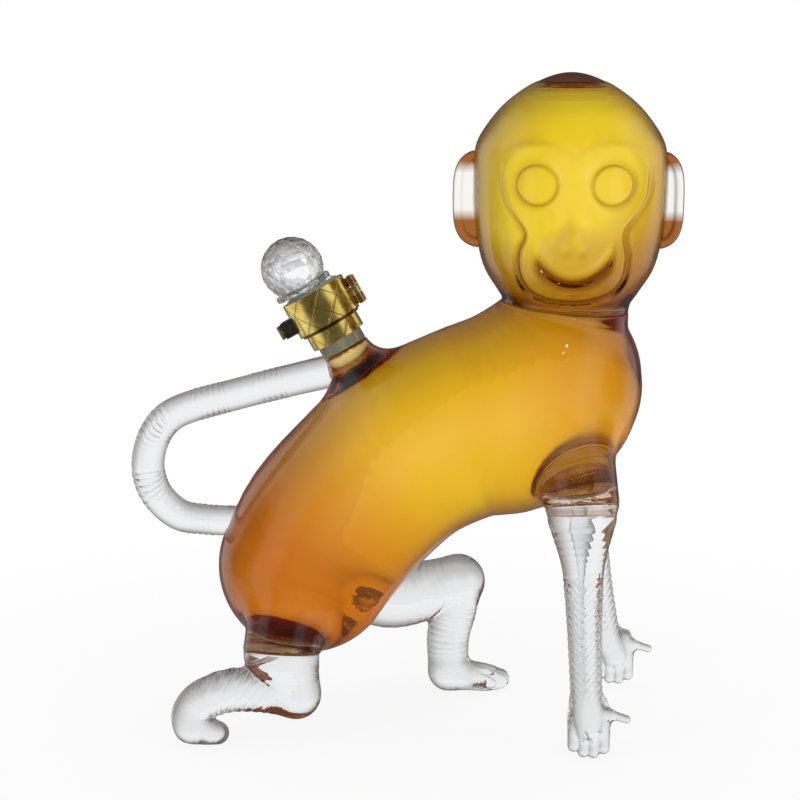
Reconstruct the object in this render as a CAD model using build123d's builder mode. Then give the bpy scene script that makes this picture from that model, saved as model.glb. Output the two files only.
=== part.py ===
from build123d import *
import os
from math import acos, asin, cos, radians, sin, sqrt

# Figural liquor decanter: a blown glass monkey on all fours, with a hinged brass clamp round its
# neck and a crystal ball stopper. All sizes are in millimetres. +X is the way the body points, -Y is
# the side that the face looks at, +Z is up. The origin lies on the table under the figure.

os.makedirs("parts", exist_ok=True)

# Torso, a blown tube bent from the rump up to the seam under the head
torso_span = 180.0
torso_rise = 156.0
torso_rear_x = -79.8
belly_height = 26.5
wall = 2.6
overrun = 4.0
dome_angles = (22, 45, 65, 80)
# Back and belly points of the round sections, from the rump to the seam, along X and up Z
back_shares = [
    (0.021, 0.371), (0.093, 0.528), (0.203, 0.672), (0.328, 0.808), (0.486, 0.909),
    (0.561, 0.939), (0.617, 0.968), (0.656, 0.990), (0.693, 1.013),
]
belly_shares = [
    (0.402, 0.149), (0.451, 0.220), (0.531, 0.324), (0.606, 0.390), (0.717, 0.436),
    (0.856, 0.478), (0.972, 0.606), (1.002, 0.792), (0.975, 0.986),
]

# Hollow stubs that carry the limbs: places on the torso as shares, ends as lengths
shoulder_share = (0.850, 0.660)
shoulder_root_y = 20.0
shoulder_fore = 4.0
shoulder_out = 16.0
shoulder_drop = 25.0
shoulder_turn = (0.0, 0.0, -28.0)
shoulder_root_radius = 16.5
shoulder_radius = 15.5
near_hip_share = (0.190, 0.215)
near_hip_root_y = 18.0
near_hip_back = 2.5
near_hip_out = 17.4
near_hip_drop = 22.0
near_hip_turn = (0.0, 0.0, -44.0)
near_hip_root_radius = 18.0
near_hip_radius = 17.0
far_hip_share = (0.240, 0.225)
far_hip_root_y = 16.0
far_hip_fore = 11.0
far_hip_out = 17.0
far_hip_drop = 11.0
far_hip_turn = (24.0, 0.0, 6.0)
far_hip_root_radius = 17.5
far_hip_radius = 16.0

# Neck, drawn from the back at a slant
neck_share = (0.338, 0.814)
neck_tilt = 29.6
neck_radius = 10.0
bore_radius = 7.2
neck_root_height = 11.4
flare_depth = 13.0
flare_radius = 21.0
flare_slope = 0.35
neck_bare_length = 5.0
lip_radius = 12.2
lip_height = 6.0
lip_round = 1.2
lip_proud = 1.2

# Head, blown on a vertical axis over the seam
head_width = 80.4
head_height = 93.0
crown_hole_radius = 6.0
# The foot follows the seam's radius, the rest follows the head's width
head_foot_shares = [(0.947, -0.060), (1.010, 0.005)]
head_profile_shares = [
    (0.770, 0.075), (0.920, 0.195), (0.985, 0.382), (1.000, 0.554),
    (0.983, 0.715), (0.865, 0.823), (0.675, 0.920), (0.375, 1.000),
]
crown_radius = 13.0
crown_height = 4.2
eye_radius = 11.0
eye_proud = 2.6
eye_spacing = 29.2
eye_height_share = 0.590
muzzle_width = 45.0
muzzle_height = 34.0
muzzle_depth = 24.0
muzzle_proud = 3.4
muzzle_height_share = 0.225
nose_radius = 4.2
nose_height_share = 0.325
nose_proud = 1.6
ear_height = 39.0
ear_reach = 16.0
ear_sink = 8.0
ear_rim_radius = 2.5
ear_web = 1.8
ear_height_share = 0.483
half_turn = 180

# Arms: solid glass rods with pressed hands
arm_stand_y = 46.0
near_hand_fore = 4.5
far_hand_fore = 17.0
# Share of the way to the fingertips: along X, along Y, height left, then the rod's radius share
arm_shares = [
    (0.18, 0.35, 0.800, 0.600), (0.30, 0.55, 0.660, 0.505), (0.45, 0.72, 0.500, 0.455),
    (0.62, 0.86, 0.340, 0.430), (0.78, 0.95, 0.215, 0.410),
]
elbow_count = 3
hand_width = 17.6
palm_thickness = 9.0
# Height left, width and thickness shares of the hand's sections down to the flat fingertips
hand_shares = [(0.130, 1.00, 1.00), (0.060, 0.98, 0.85), (0.000, 0.72, 0.60)]
finger_count = 4
finger_length = 8.0
finger_gap = 0.7
thumb_length = 15.0
thumb_radius = 2.6
thumb_tip_radius = 1.5
thumb_height = 22.0
thumb_drop = 4.0

# Hind legs, the near one trailing and the far one stepping forward. Each joint is given from the
# end of its hip stub: how far along X, how far along Y, and the share of the hip's height.
joint_swell = 0.6
near_knee = (6.8, -4.6, 0.565)
near_knee_radius = 9.6
near_shin = [(-7.7, -6.1, 0.618), (-21.7, -7.2, 0.605), (-32.7, -7.6, 0.486)]
near_shin_radii = [9.5, 9.1, 8.2]
near_heel = (-37.2, -8.4, 0.195)
near_heel_radius = 7.3
near_toe = (-26.2, -9.9, 0.120)
near_toe_radius = 4.6
near_foot_mid_share = 0.5
near_foot_mid_radius = 6.2
far_knee = (48.3, 3.0, 0.998)
far_knee_radius = 11.3
far_thigh = [(15.8, 2.0, 0.860), (31.8, 3.5, 0.889)]
far_thigh_radii = [15.6, 14.0]
far_shin = [(46.3, 2.0, 0.731), (43.8, 0.5, 0.474), (44.3, -0.5, 0.237)]
far_shin_radii = [10.2, 9.6, 9.2]
far_heel = (44.3, -1.0, 0.170)
far_heel_radius = 8.8
far_foot = [(52.8, 0.0, 0.130), (60.8, 1.5, 0.103), (67.8, 3.0, 0.083)]
far_foot_widths = [17.4, 17.5, 13.0]
far_foot_thicknesses = [13.6, 10.6, 6.4]

# Tail handle: a solid rod from the neck's root, out behind and back to the rump
tail_radius = 7.1
tail_reach = 32.5
tail_top_bend_radius = 25.0
tail_low_bend_radius = 17.0
tail_root_height = 4.5
tail_root_side = -7.0
tail_top_drop = 20.5
tail_low_share = 0.417
tail_end_share = (0.050, 0.380)
tail_shoulder = 3.0

# Clamp collar: two half rings that close on a soft liner under the rolled lip
collar_height = 22.8
lower_band_height = 6.5
lower_band_radius = 12.05
lower_band_wall = 1.15
upper_band_radius = 14.3
upper_band_wall = 1.4
ledge_radius = 13.3
ledge_thickness = 1.4
groove_height = 0.9
split_gap = 0.3
liner_gap = 0.3

# Hinge of the collar
hinge_reach = 2.4
knuckle_radius = 2.1
knuckle_height = 4.0
mid_knuckle_height = 3.4
knuckle_gap = 0.3
hinge_height_share = 0.4675
leaf_thickness = 1.4
pin_radius = 0.8
pin_clearance = 0.05
pin_head_radius = 1.3
pin_head_height = 0.5

# Latch of the collar: a tongue on the rear half enters a box on the front half
latch_height_share = 0.4025
latch_tall = 7.0
latch_reach = 4.5
latch_depth = 5.0
latch_slot_depth = 3.2
tongue_thickness = 1.4
tongue_tall = 3.4
tongue_length = 2.6
tongue_inset = 1.9
tongue_clearance = 0.35
lug_depth = 3.4
button_stem_radius = 0.9
button_clearance = 0.05
button_travel = 0.8
button_plate_tall = 6.0
button_plate_wide = 4.0
button_plate_thick = 1.0

# Stopper: a ground plug with two rings, a flange and a cut ball that stand a little off its axis
stopper_offset = 2.6
ball_radius = 13.6
ball_sides = 12
ball_rise = 8.0
ball_table_share = 0.26
ball_ring_count = 7
flange_radius = 12.6
flange_thickness = 2.6
flange_round = 0.9
gasket_thickness = 0.6
gasket_radius = 10.4
seat_gap = 0.1
plug_radius = 6.5
plug_length = 16.0
plug_chamfer = 1.0
ring_radius = 0.9
ring_squeeze = 0.45
ring_shares = (0.35, 0.70)


def body_point(x_share, z_share, y=0.0):
    """Place in the torso's own span and rise."""
    return Vector(torso_rear_x + x_share * torso_span, y, belly_height + z_share * torso_rise)


def crossing_plane(place, way):
    """Plane square to a way, with its X direction square to Y."""
    return Plane(origin=place, x_dir=Vector(0, 1, 0).cross(way), z_dir=way)


def spine_station(back_share, belly_share):
    """Plane and radius of one round section of the torso, from its back and belly points."""
    back = body_point(*back_share)
    belly = body_point(*belly_share)
    across = belly - back
    plane = Plane(origin=(back + belly) / 2, x_dir=across, z_dir=across.cross(Vector(0, 1, 0)))
    return plane, across.length / 2


def straight_stations(root, end, root_radius, end_radius):
    """Two sections, square to the line from root to end."""
    way = end - root
    return [(crossing_plane(root, way), root_radius), (crossing_plane(end, way), end_radius)]


def path_stations(points, radii):
    """Sections along a route of points, each square to the run through it."""
    stations = []
    last = len(points) - 1
    for index, (point, radius) in enumerate(zip(points, radii)):
        way = points[min(index + 1, last)] - points[max(index - 1, 0)]
        stations.append((crossing_plane(point, way), radius))
    return stations


def loft_stations(stations, inset=0.0, mode=Mode.ADD, tip=None):
    """Loft through round sections, each smaller by the inset, from a rounded tip if there is one."""
    sections = [] if tip is None else [tip]
    for plane, radius in stations:
        with BuildSketch(plane) as section:
            Circle(radius - inset)
        sections.append(section.sketch)
    loft(sections, mode=mode)


def share_way(start, end, share):
    """Point at a share of the way from start to end."""
    return start + (end - start) * share


def finish(builder, name):
    """Label a finished piece and write its file."""
    builder.part.label = name
    export_step(builder.part, f"parts/{name}.step")


# Torso
spine = [spine_station(back, belly) for back, belly in zip(back_shares, belly_shares)]
rump_plane, rump_radius = spine[0]
seam_plane, seam_radius = spine[-1]


def stub_stations(root, reach, turn, root_radius, end_radius):
    """Sections of a hollow stub, whose end face turns from its own way towards the limb's."""
    end = root + reach
    return [(crossing_plane(root, reach), root_radius), (crossing_plane(end, reach + turn), end_radius)]


near_shoulder, far_shoulder = (
    stub_stations(body_point(*shoulder_share, side * shoulder_root_y),
                  Vector(shoulder_fore, side * shoulder_out, -shoulder_drop), Vector(*shoulder_turn),
                  shoulder_root_radius, shoulder_radius)
    for side in (-1, 1)
)
near_hip = stub_stations(body_point(*near_hip_share, -near_hip_root_y),
                         Vector(-near_hip_back, -near_hip_out, -near_hip_drop),
                         Vector(*near_hip_turn), near_hip_root_radius, near_hip_radius)
far_hip = stub_stations(body_point(*far_hip_share, far_hip_root_y),
                        Vector(far_hip_fore, far_hip_out, -far_hip_drop),
                        Vector(*far_hip_turn), far_hip_root_radius, far_hip_radius)
stubs = [near_shoulder, far_shoulder, near_hip, far_hip]

neck_root = body_point(*neck_share)
neck_way = Vector(-sin(radians(neck_tilt)), 0, cos(radians(neck_tilt)))
neck_side = Vector(cos(radians(neck_tilt)), 0, sin(radians(neck_tilt)))
neck_plane = Plane(origin=neck_root, x_dir=neck_side, z_dir=neck_way)
neck_profile = Plane(origin=neck_root, x_dir=neck_side, z_dir=(0, -1, 0))
neck_axis = Axis(neck_root, neck_way)


def loft_torso(inset):
    """Loft the bent tube with its domed rump, drawn in by an inset."""
    dome_radius = rump_radius - inset
    dome = [
        (rump_plane.offset(-dome_radius * sin(radians(angle))), dome_radius * cos(radians(angle)) + inset)
        for angle in reversed(dome_angles)
    ]
    loft_stations(dome + spine, inset, tip=Vertex(rump_plane.offset(-dome_radius).origin))


with BuildPart() as torso_form:
    loft_torso(0.0)
    for stub in stubs:
        loft_stations(stub)
    with BuildSketch(neck_profile):
        with BuildLine():
            foot = (flare_radius, -flare_depth)
            brim = (flare_radius, 0)
            top = (neck_radius, neck_root_height)
            Polyline(top, (0, neck_root_height), (0, -flare_depth), foot, brim)
            Spline(brim, top, tangents=[(-1, flare_slope), (0, 1)])
        make_face()
    revolve(axis=neck_axis)

with BuildPart() as torso_cavity:
    loft_torso(wall)
    with BuildSketch(seam_plane):
        Circle(seam_radius - wall)
    extrude(amount=overrun)
    for stub in stubs:
        loft_stations(stub, wall)
        with BuildSketch(stub[-1][0]):
            Circle(stub[-1][1] - wall)
        extrude(amount=overrun)
    with BuildSketch(neck_plane.offset(-flare_depth)):
        Circle(bore_radius)
    extrude(amount=flare_depth + neck_root_height + overrun)

with BuildPart() as torso_vessel:
    add(torso_form.part)
    add(torso_cavity.part, mode=Mode.SUBTRACT)
finish(torso_vessel, "torso_vessel")

# Head
head_axis = Axis(seam_plane.origin, (0, 0, 1))
head_profile = Plane(origin=seam_plane.origin, x_dir=(1, 0, 0), z_dir=(0, -1, 0))


def head_point(height_share, inset=0.0):
    """Radius of the head's profile at a share of its height, between the listed points."""
    for (low_r, low_z), (high_r, high_z) in zip(head_profile_shares, head_profile_shares[1:]):
        if low_z <= height_share <= high_z:
            blend = (height_share - low_z) / (high_z - low_z)
            return (low_r + blend * (high_r - low_r)) * head_width / 2 - inset
    return 0.0


def revolve_head(inset, top, mode=Mode.ADD):
    """Revolve the head's profile, drawn in by an inset, up to a height."""
    outline = [(r * seam_radius - inset, z * top) for r, z in head_foot_shares]
    outline += [(r * head_width / 2 - inset, z * top) for r, z in head_profile_shares]
    with BuildSketch(head_profile) as profile:
        with BuildLine():
            Spline(*outline)
            Polyline(outline[-1], (0, top), (0, outline[0][1]), outline[0])
        make_face()
    revolve(profile.sketch, axis=head_axis, mode=mode)


with BuildPart() as head_form:
    revolve_head(0.0, head_height)
    split(bisect_by=seam_plane, keep=Keep.TOP)

with BuildPart() as head_vessel:
    add(head_form.part)
    for side in (-1, 1):
        eye_x = side * eye_spacing / 2
        eye_skin = sqrt(head_point(eye_height_share) ** 2 - eye_x ** 2)
        eye_place = Vector(eye_x, eye_radius - eye_proud - eye_skin, eye_height_share * head_height)
        with Locations(seam_plane.origin + eye_place):
            Sphere(eye_radius)
    muzzle_skin = head_point(muzzle_height_share)
    muzzle_y = muzzle_depth / 2 - muzzle_proud - muzzle_skin
    muzzle_place = seam_plane.origin + Vector(0, muzzle_y, muzzle_height_share * head_height)
    muzzle_ball = Solid.make_sphere(1.0)
    muzzle_scale = (muzzle_width / 2, muzzle_depth / 2, muzzle_height / 2)
    add(Location(muzzle_place) * scale(muzzle_ball, by=muzzle_scale, mode=Mode.PRIVATE))
    nose_y = -muzzle_skin - muzzle_proud - nose_proud + nose_radius
    nose_place = seam_plane.origin + Vector(0, nose_y, nose_height_share * head_height)
    with Locations(nose_place):
        Sphere(nose_radius)
    revolve_head(wall, head_height - wall, mode=Mode.SUBTRACT)
    with BuildSketch(Plane(seam_plane.origin).offset(head_height - wall - overrun)):
        Circle(crown_hole_radius)
    extrude(amount=wall + overrun + overrun, mode=Mode.SUBTRACT)
finish(head_vessel, "head_vessel")

with BuildPart() as crown_seal:
    crown_sphere_radius = (crown_radius ** 2 + crown_height ** 2) / (2 * crown_height)
    crown_base = Plane(seam_plane.origin).offset(head_height)
    with Locations(crown_base.offset(crown_height - crown_sphere_radius)):
        Sphere(crown_sphere_radius)
    split(bisect_by=crown_base, keep=Keep.TOP)
finish(crown_seal, "crown_seal")

# Ears: a C-shaped rim with a thin web, cut to the head's side
for side, name in ((-1, "ear_right"), (1, "ear_left")):
    ear_edge = head_point(ear_height_share)
    ear_centre = seam_plane.origin + Vector(
        side * (ear_edge - ear_sink), 0, ear_height_share * head_height
    )
    ear_plane = Plane(origin=ear_centre, x_dir=(side, 0, 0), z_dir=(0, -side, 0))
    ear_semi = ear_height / 2 - ear_rim_radius
    ear_out = ear_reach - ear_rim_radius
    with BuildPart() as ear:
        with BuildLine(ear_plane) as ear_arc:
            EllipticalCenterArc((0, 0), ear_out, ear_semi, start_angle=-half_turn / 2, arc_size=half_turn)
        with BuildSketch(Plane(origin=ear_arc.line @ 0, z_dir=ear_arc.line % 0)):
            Circle(ear_rim_radius)
        sweep(path=ear_arc.line)
        with BuildSketch(ear_plane.offset(-ear_web / 2)):
            with BuildLine():
                EllipticalCenterArc((0, 0), ear_out, ear_semi, start_angle=-half_turn / 2, arc_size=half_turn)
                Line((0, ear_semi), (0, -ear_semi))
            make_face()
        extrude(amount=ear_web)
        add(head_form.part, mode=Mode.SUBTRACT)
    finish(ear, name)


# Limbs
for side, name, stub, fore in (
    (-1, "arm_right", near_shoulder, near_hand_fore), (1, "arm_left", far_shoulder, far_hand_fore),
):
    arm_top, arm_radius = stub[-1]
    shoulder = arm_top.origin
    tips = Vector(shoulder.X + fore, side * arm_stand_y, 0)
    reach = tips - shoulder
    rod = [stub[-1]]
    for x_share, y_share, height_share, radius_share in arm_shares:
        place = Vector(shoulder.X + x_share * reach.X, shoulder.Y + y_share * reach.Y,
                       height_share * shoulder.Z)
        rod.append((crossing_plane(place, Vector(reach.X / 2, reach.Y / 2, reach.Z)),
                    radius_share * arm_radius))
    wrist_plane, wrist_radius = rod[-1]
    with BuildPart() as arm:
        loft_stations(rod[:elbow_count])
        loft_stations(rod[elbow_count - 1:])
        with BuildSketch(wrist_plane):
            Circle(wrist_radius)
        for height_share, width_share, thick_share in hand_shares:
            place = Vector(tips.X, tips.Y, height_share * shoulder.Z)
            with BuildSketch(crossing_plane(place, Vector(0, 0, -1))):
                Ellipse(width_share * hand_width / 2, thick_share * palm_thickness / 2)
        loft()
        thumb_root = Vector(tips.X, tips.Y, thumb_height)
        thumb_tip = thumb_root + Vector(thumb_length, 0, -thumb_drop)
        loft_stations(straight_stations(thumb_root, thumb_tip, thumb_radius, thumb_tip_radius))
        with Locations(thumb_tip):
            Sphere(thumb_tip_radius)
        finger_pitch = hand_width / finger_count
        for index in range(1, finger_count):
            slit_x = tips.X - hand_width / 2 + index * finger_pitch
            with Locations((slit_x, tips.Y, 0)):
                Box(finger_gap, hand_width, finger_length + finger_length, mode=Mode.SUBTRACT)
    finish(arm, name)


def limb_point(stub, reach):
    """Joint of a leg, from the end of its stub and a share of that end's height."""
    hip = stub[-1][0].origin
    x_reach, y_reach, height_share = reach
    return Vector(hip.X + x_reach, hip.Y + y_reach, height_share * hip.Z)


def add_knob(place, radius):
    """Rounded joint of a limb, a little fuller than the rods that meet in it."""
    with Locations(place):
        Sphere(radius + joint_swell)


with BuildPart() as leg_right:
    knee = limb_point(near_hip, near_knee)
    loft_stations([near_hip[-1], (crossing_plane(knee, near_hip[-1][0].z_dir), near_knee_radius)])
    add_knob(knee, near_knee_radius)
    shin = [knee] + [limb_point(near_hip, reach) for reach in near_shin]
    loft_stations(path_stations(shin, [near_knee_radius] + near_shin_radii))
    hock = shin[-1]
    heel = limb_point(near_hip, near_heel)
    add_knob(hock, near_shin_radii[-1])
    loft_stations(straight_stations(hock, heel, near_heel_radius, near_heel_radius))
    add_knob(heel, near_heel_radius)
    toe = limb_point(near_hip, near_toe)
    foot_mid = share_way(heel, toe, near_foot_mid_share)
    loft_stations(path_stations([heel, foot_mid, toe],
                                [near_heel_radius, near_foot_mid_radius, near_toe_radius]))
    add_knob(toe, near_toe_radius)
    split(bisect_by=Plane.XY, keep=Keep.TOP)
finish(leg_right, "leg_right")

with BuildPart() as leg_left:
    far_hip_plane, far_hip_end_radius = far_hip[-1]
    far_knee_point = limb_point(far_hip, far_knee)
    thigh_points = [limb_point(far_hip, reach) for reach in far_thigh] + [far_knee_point]
    thigh_stations = path_stations([far_hip_plane.origin] + thigh_points,
                                   [far_hip_end_radius] + far_thigh_radii + [far_knee_radius])
    loft_stations([far_hip[-1]] + thigh_stations[1:])
    add_knob(far_knee_point, far_knee_radius)
    shin_points = [far_knee_point] + [limb_point(far_hip, reach) for reach in far_shin]
    loft_stations(path_stations(shin_points, [far_knee_radius] + far_shin_radii))
    far_heel_point = limb_point(far_hip, far_heel)
    add_knob(far_heel_point, far_heel_radius)
    foot_points = [limb_point(far_hip, reach) for reach in far_foot]
    foot_way = foot_points[-1] - foot_points[0]
    foot_across = foot_way.cross(Vector(0, 0, 1))
    with BuildSketch(Plane(origin=far_heel_point, x_dir=foot_across, z_dir=foot_way)):
        Circle(far_heel_radius)
    for point, width, thickness in zip(foot_points, far_foot_widths, far_foot_thicknesses):
        with BuildSketch(Plane(origin=point, x_dir=foot_across, z_dir=foot_way)):
            Ellipse(width / 2, thickness / 2)
    loft()
    split(bisect_by=Plane.XY, keep=Keep.TOP)
    add(torso_form.part, mode=Mode.SUBTRACT)
finish(leg_left, "leg_left")

# Tail handle
tail_start = neck_root + neck_way * tail_root_height + neck_side * tail_root_side
tail_back_x = torso_rear_x - tail_reach
tail_end = body_point(*tail_end_share)
tail_low = body_point(0, tail_low_share)
with BuildPart() as tail_handle:
    with BuildLine(Plane.XZ) as tail_path:
        FilletPolyline(
            [
                (tail_start.X, tail_start.Z),
                (tail_back_x + tail_shoulder, tail_start.Z - tail_top_drop),
                (tail_back_x, tail_low.Z),
                (tail_end.X, tail_end.Z),
            ],
            radius=[tail_top_bend_radius, tail_low_bend_radius],
        )
    with BuildSketch(Plane(origin=tail_path.line @ 0, z_dir=tail_path.line % 0)):
        Circle(tail_radius)
    sweep(path=tail_path.line)
    add(torso_form.part, mode=Mode.SUBTRACT)
    with BuildSketch(neck_plane):
        Circle(neck_radius)
    extrude(amount=neck_root_height + tail_reach, mode=Mode.SUBTRACT)
finish(tail_handle, "tail_handle")


# Neck tube with its rolled lip
def band(inner, outer, low, high, mode=Mode.ADD):
    """Rectangle between two radii and two heights on the neck's profile plane."""
    with Locations(((inner + outer) / 2, (low + high) / 2)):
        Rectangle(outer - inner, high - low, mode=mode)


collar_low = neck_root_height + neck_bare_length
collar_top = collar_low + collar_height
lip_top = collar_top + lip_proud
with BuildPart() as neck_tube:
    with BuildSketch(neck_profile):
        band(bore_radius, neck_radius, neck_root_height, lip_top)
        band(bore_radius, lip_radius, lip_top - lip_height, lip_top)
    revolve(axis=neck_axis)
    fillet(neck_tube.edges().filter_by(GeomType.CIRCLE).group_by(SortBy.RADIUS)[-1], lip_round)
finish(neck_tube, "neck_tube")

# Collar: both halves share one profile, split by the plane through the hinge
lower_bore = lower_band_radius - lower_band_wall
upper_low = collar_low + lower_band_height + groove_height
rear_split = Plane(origin=neck_root + Vector(0, split_gap / 2, 0), x_dir=neck_side, z_dir=(0, 1, 0))
front_split = Plane(origin=neck_root - Vector(0, split_gap / 2, 0), x_dir=neck_side, z_dir=(0, 1, 0))
hinge_height = upper_low + hinge_height_share * (collar_top - upper_low)
latch_height = upper_low + latch_height_share * (collar_top - upper_low)
hinge_x = upper_band_radius + hinge_reach
hinge_low = hinge_height - mid_knuckle_height / 2 - knuckle_gap - knuckle_height
hinge_top = hinge_height + mid_knuckle_height / 2 + knuckle_gap + knuckle_height


def collar_ring():
    """Full ring of the clamp: lower band, ledge under the lip and upper band."""
    with BuildSketch(neck_profile) as profile:
        band(lower_bore, lower_band_radius, collar_low, upper_low)
        band(lower_bore, ledge_radius, upper_low - groove_height, upper_low + ledge_thickness / 2)
        band(upper_band_radius - upper_band_wall, upper_band_radius, upper_low, collar_top)
        band(lower_bore, upper_band_radius, upper_low, upper_low + ledge_thickness)
    revolve(profile.sketch, axis=neck_axis)


def knuckle(side, low, high):
    """One hinge knuckle with the leaf that joins it to its half."""
    leaf_in = upper_band_radius - upper_band_wall / 2
    with BuildSketch(neck_plane.offset(low)) as outline:
        with Locations((hinge_x, 0)):
            Circle(knuckle_radius)
        with Locations(((leaf_in + hinge_x) / 2, side * (split_gap + leaf_thickness) / 2)):
            Rectangle(hinge_x - leaf_in, leaf_thickness)
    extrude(outline.sketch, amount=high - low)


def pin_bore():
    """Bore for the hinge pin through every knuckle."""
    with BuildSketch(neck_plane.offset(hinge_low - overrun)) as bore:
        with Locations((hinge_x, 0)):
            Circle(pin_radius + pin_clearance)
    extrude(bore.sketch, amount=hinge_top - hinge_low + 2 * overrun, mode=Mode.SUBTRACT)


with BuildPart() as collar_rear:
    collar_ring()
    split(bisect_by=rear_split, keep=Keep.TOP)
    knuckle(1, hinge_low, hinge_low + knuckle_height)
    knuckle(1, hinge_top - knuckle_height, hinge_top)
    pin_bore()
finish(collar_rear, "collar_rear")

with BuildPart() as collar_front:
    collar_ring()
    split(bisect_by=front_split, keep=Keep.BOTTOM)
    knuckle(-1, hinge_height - mid_knuckle_height / 2, hinge_height + mid_knuckle_height / 2)
    pin_bore()
finish(collar_front, "collar_front")

with BuildPart() as hinge_pin:
    with BuildSketch(neck_plane.offset(hinge_low)):
        with Locations((hinge_x, 0)):
            Circle(pin_radius)
    extrude(amount=hinge_top - hinge_low)
    with BuildSketch(neck_plane.offset(hinge_low - pin_head_height), neck_plane.offset(hinge_top)):
        with Locations((hinge_x, 0)):
            Circle(pin_head_radius)
    extrude(amount=pin_head_height)
finish(hinge_pin, "hinge_pin")

for name, split_plane, keep in (
    ("liner_rear", rear_split, Keep.TOP), ("liner_front", front_split, Keep.BOTTOM),
):
    with BuildPart() as liner:
        with BuildSketch(neck_profile):
            band(neck_radius + liner_gap, lower_bore, collar_low, upper_low)
        revolve(axis=neck_axis)
        split(bisect_by=split_plane, keep=keep)
    finish(liner, name)

# Latch
latch_low = latch_height - latch_tall / 2
latch_face = upper_band_radius + latch_reach
latch_in = upper_band_radius - upper_band_wall
tongue_x = latch_face - tongue_inset - tongue_thickness / 2


def latch_block(inner, outer, near_y, far_y, low, high, mode=Mode.ADD):
    """Block on the latch side of the neck, between two distances, two depths and two heights."""
    with BuildSketch(neck_plane.offset(low)) as outline:
        with Locations((-(inner + outer) / 2, (near_y + far_y) / 2)):
            Rectangle(outer - inner, far_y - near_y)
    extrude(outline.sketch, amount=high - low, mode=mode)


def clear_band():
    """Cut a latch piece to the outside of the upper band."""
    with BuildSketch(neck_plane.offset(collar_low)) as core:
        Circle(upper_band_radius)
    extrude(core.sketch, amount=collar_height, mode=Mode.SUBTRACT)


with BuildPart() as latch_tongue:
    latch_block(latch_in, latch_face, split_gap / 2, lug_depth, latch_low, latch_low + latch_tall)
    clear_band()
    latch_block(tongue_x - tongue_thickness / 2, tongue_x + tongue_thickness / 2,
                -tongue_length, lug_depth, latch_height - tongue_tall / 2,
                latch_height + tongue_tall / 2)
finish(latch_tongue, "latch_tongue")

with BuildPart() as latch_box:
    latch_block(latch_in, latch_face, -latch_depth, -split_gap / 2, latch_low, latch_low + latch_tall)
    clear_band()
    slot_half = tongue_thickness / 2 + tongue_clearance
    latch_block(tongue_x - slot_half, tongue_x + slot_half, -latch_slot_depth, 0,
                latch_height - tongue_tall / 2 - tongue_clearance,
                latch_height + tongue_tall / 2 + tongue_clearance, mode=Mode.SUBTRACT)
    button_y = -(split_gap / 2 + latch_depth) / 2
    button_place = neck_plane.from_local_coords(Vector(-latch_face - overrun, button_y, latch_height))
    with BuildSketch(Plane(origin=button_place, x_dir=(0, 1, 0), z_dir=neck_side)):
        Circle(button_stem_radius + button_clearance)
    extrude(amount=overrun + tongue_inset, mode=Mode.SUBTRACT)
finish(latch_box, "latch_box")

with BuildPart() as latch_button:
    plate_out = latch_face + button_travel + seat_gap + button_plate_thick
    plate_place = neck_plane.from_local_coords(Vector(-plate_out, button_y, latch_height))
    plate_plane = Plane(origin=plate_place, x_dir=(0, 1, 0), z_dir=neck_side)
    with BuildSketch(plate_plane):
        Rectangle(button_plate_wide, button_plate_tall)
    extrude(amount=button_plate_thick)
    with BuildSketch(plate_plane):
        Circle(button_stem_radius)
    extrude(amount=button_plate_thick + button_travel + seat_gap + tongue_inset / 4)
finish(latch_button, "latch_button")

# Stopper
gasket_low = lip_top + seat_gap
flange_low = gasket_low + gasket_thickness
flange_top = flange_low + flange_thickness
ball_height = flange_top + ball_rise
stopper_plane = Plane(origin=neck_plane.from_local_coords(Vector(-stopper_offset, 0, 0)),
                      x_dir=neck_side, z_dir=neck_way)
plug_low = flange_low - plug_length
ring_core = bore_radius - ring_squeeze / 2 - ring_radius
ring_heights = [flange_low - share * plug_length for share in ring_shares]

with BuildPart() as stopper_flange:
    with BuildSketch(stopper_plane.offset(flange_low)):
        Circle(flange_radius)
    extrude(amount=flange_thickness)
    fillet(stopper_flange.edges().filter_by(GeomType.CIRCLE), flange_round)
finish(stopper_flange, "stopper_flange")

low_angle = -asin(ball_rise / ball_radius)
high_angle = acos(ball_table_share)
with BuildPart() as stopper_ball:
    for ring in range(ball_ring_count):
        angle = low_angle + (high_angle - low_angle) * ring / (ball_ring_count - 1)
        with BuildSketch(stopper_plane.offset(ball_height + ball_radius * sin(angle))):
            RegularPolygon(radius=ball_radius * cos(angle), side_count=ball_sides)
    loft(ruled=True)
finish(stopper_ball, "stopper_ball")

with BuildPart() as stopper_plug:
    with BuildSketch(neck_plane.offset(plug_low)):
        Circle(plug_radius)
    extrude(amount=plug_length)
    chamfer(stopper_plug.edges().filter_by(GeomType.CIRCLE).sort_by(neck_axis)[0], plug_chamfer)
    for height in ring_heights:
        with BuildSketch(neck_profile):
            with Locations((ring_core, height)):
                Circle(ring_radius)
        revolve(axis=neck_axis, mode=Mode.SUBTRACT)
finish(stopper_plug, "stopper_plug")

with BuildPart() as stopper_rings:
    with BuildSketch(neck_profile):
        with Locations(*[(ring_core, height) for height in ring_heights]):
            Circle(ring_radius)
    revolve(axis=neck_axis)
finish(stopper_rings, "stopper_rings")

with BuildPart() as stopper_gasket:
    with BuildSketch(neck_plane.offset(gasket_low)):
        Circle(gasket_radius)
        Circle(plug_radius, mode=Mode.SUBTRACT)
    extrude(amount=gasket_thickness)
finish(stopper_gasket, "stopper_gasket")
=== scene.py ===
"""Blown glass liquor decanter in the shape of a monkey on all fours, dressed over its CAD frame.

The glass walls and the liquor are closed surfaces worked out from smooth distance fields, in
millimetres, and kept in metres. The neck and the crown seal are turned from outlines, and the cut
ball comes from a node tree. The clamp and the rest of the stopper stay with their CAD pieces.
"""
from __future__ import annotations

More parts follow.
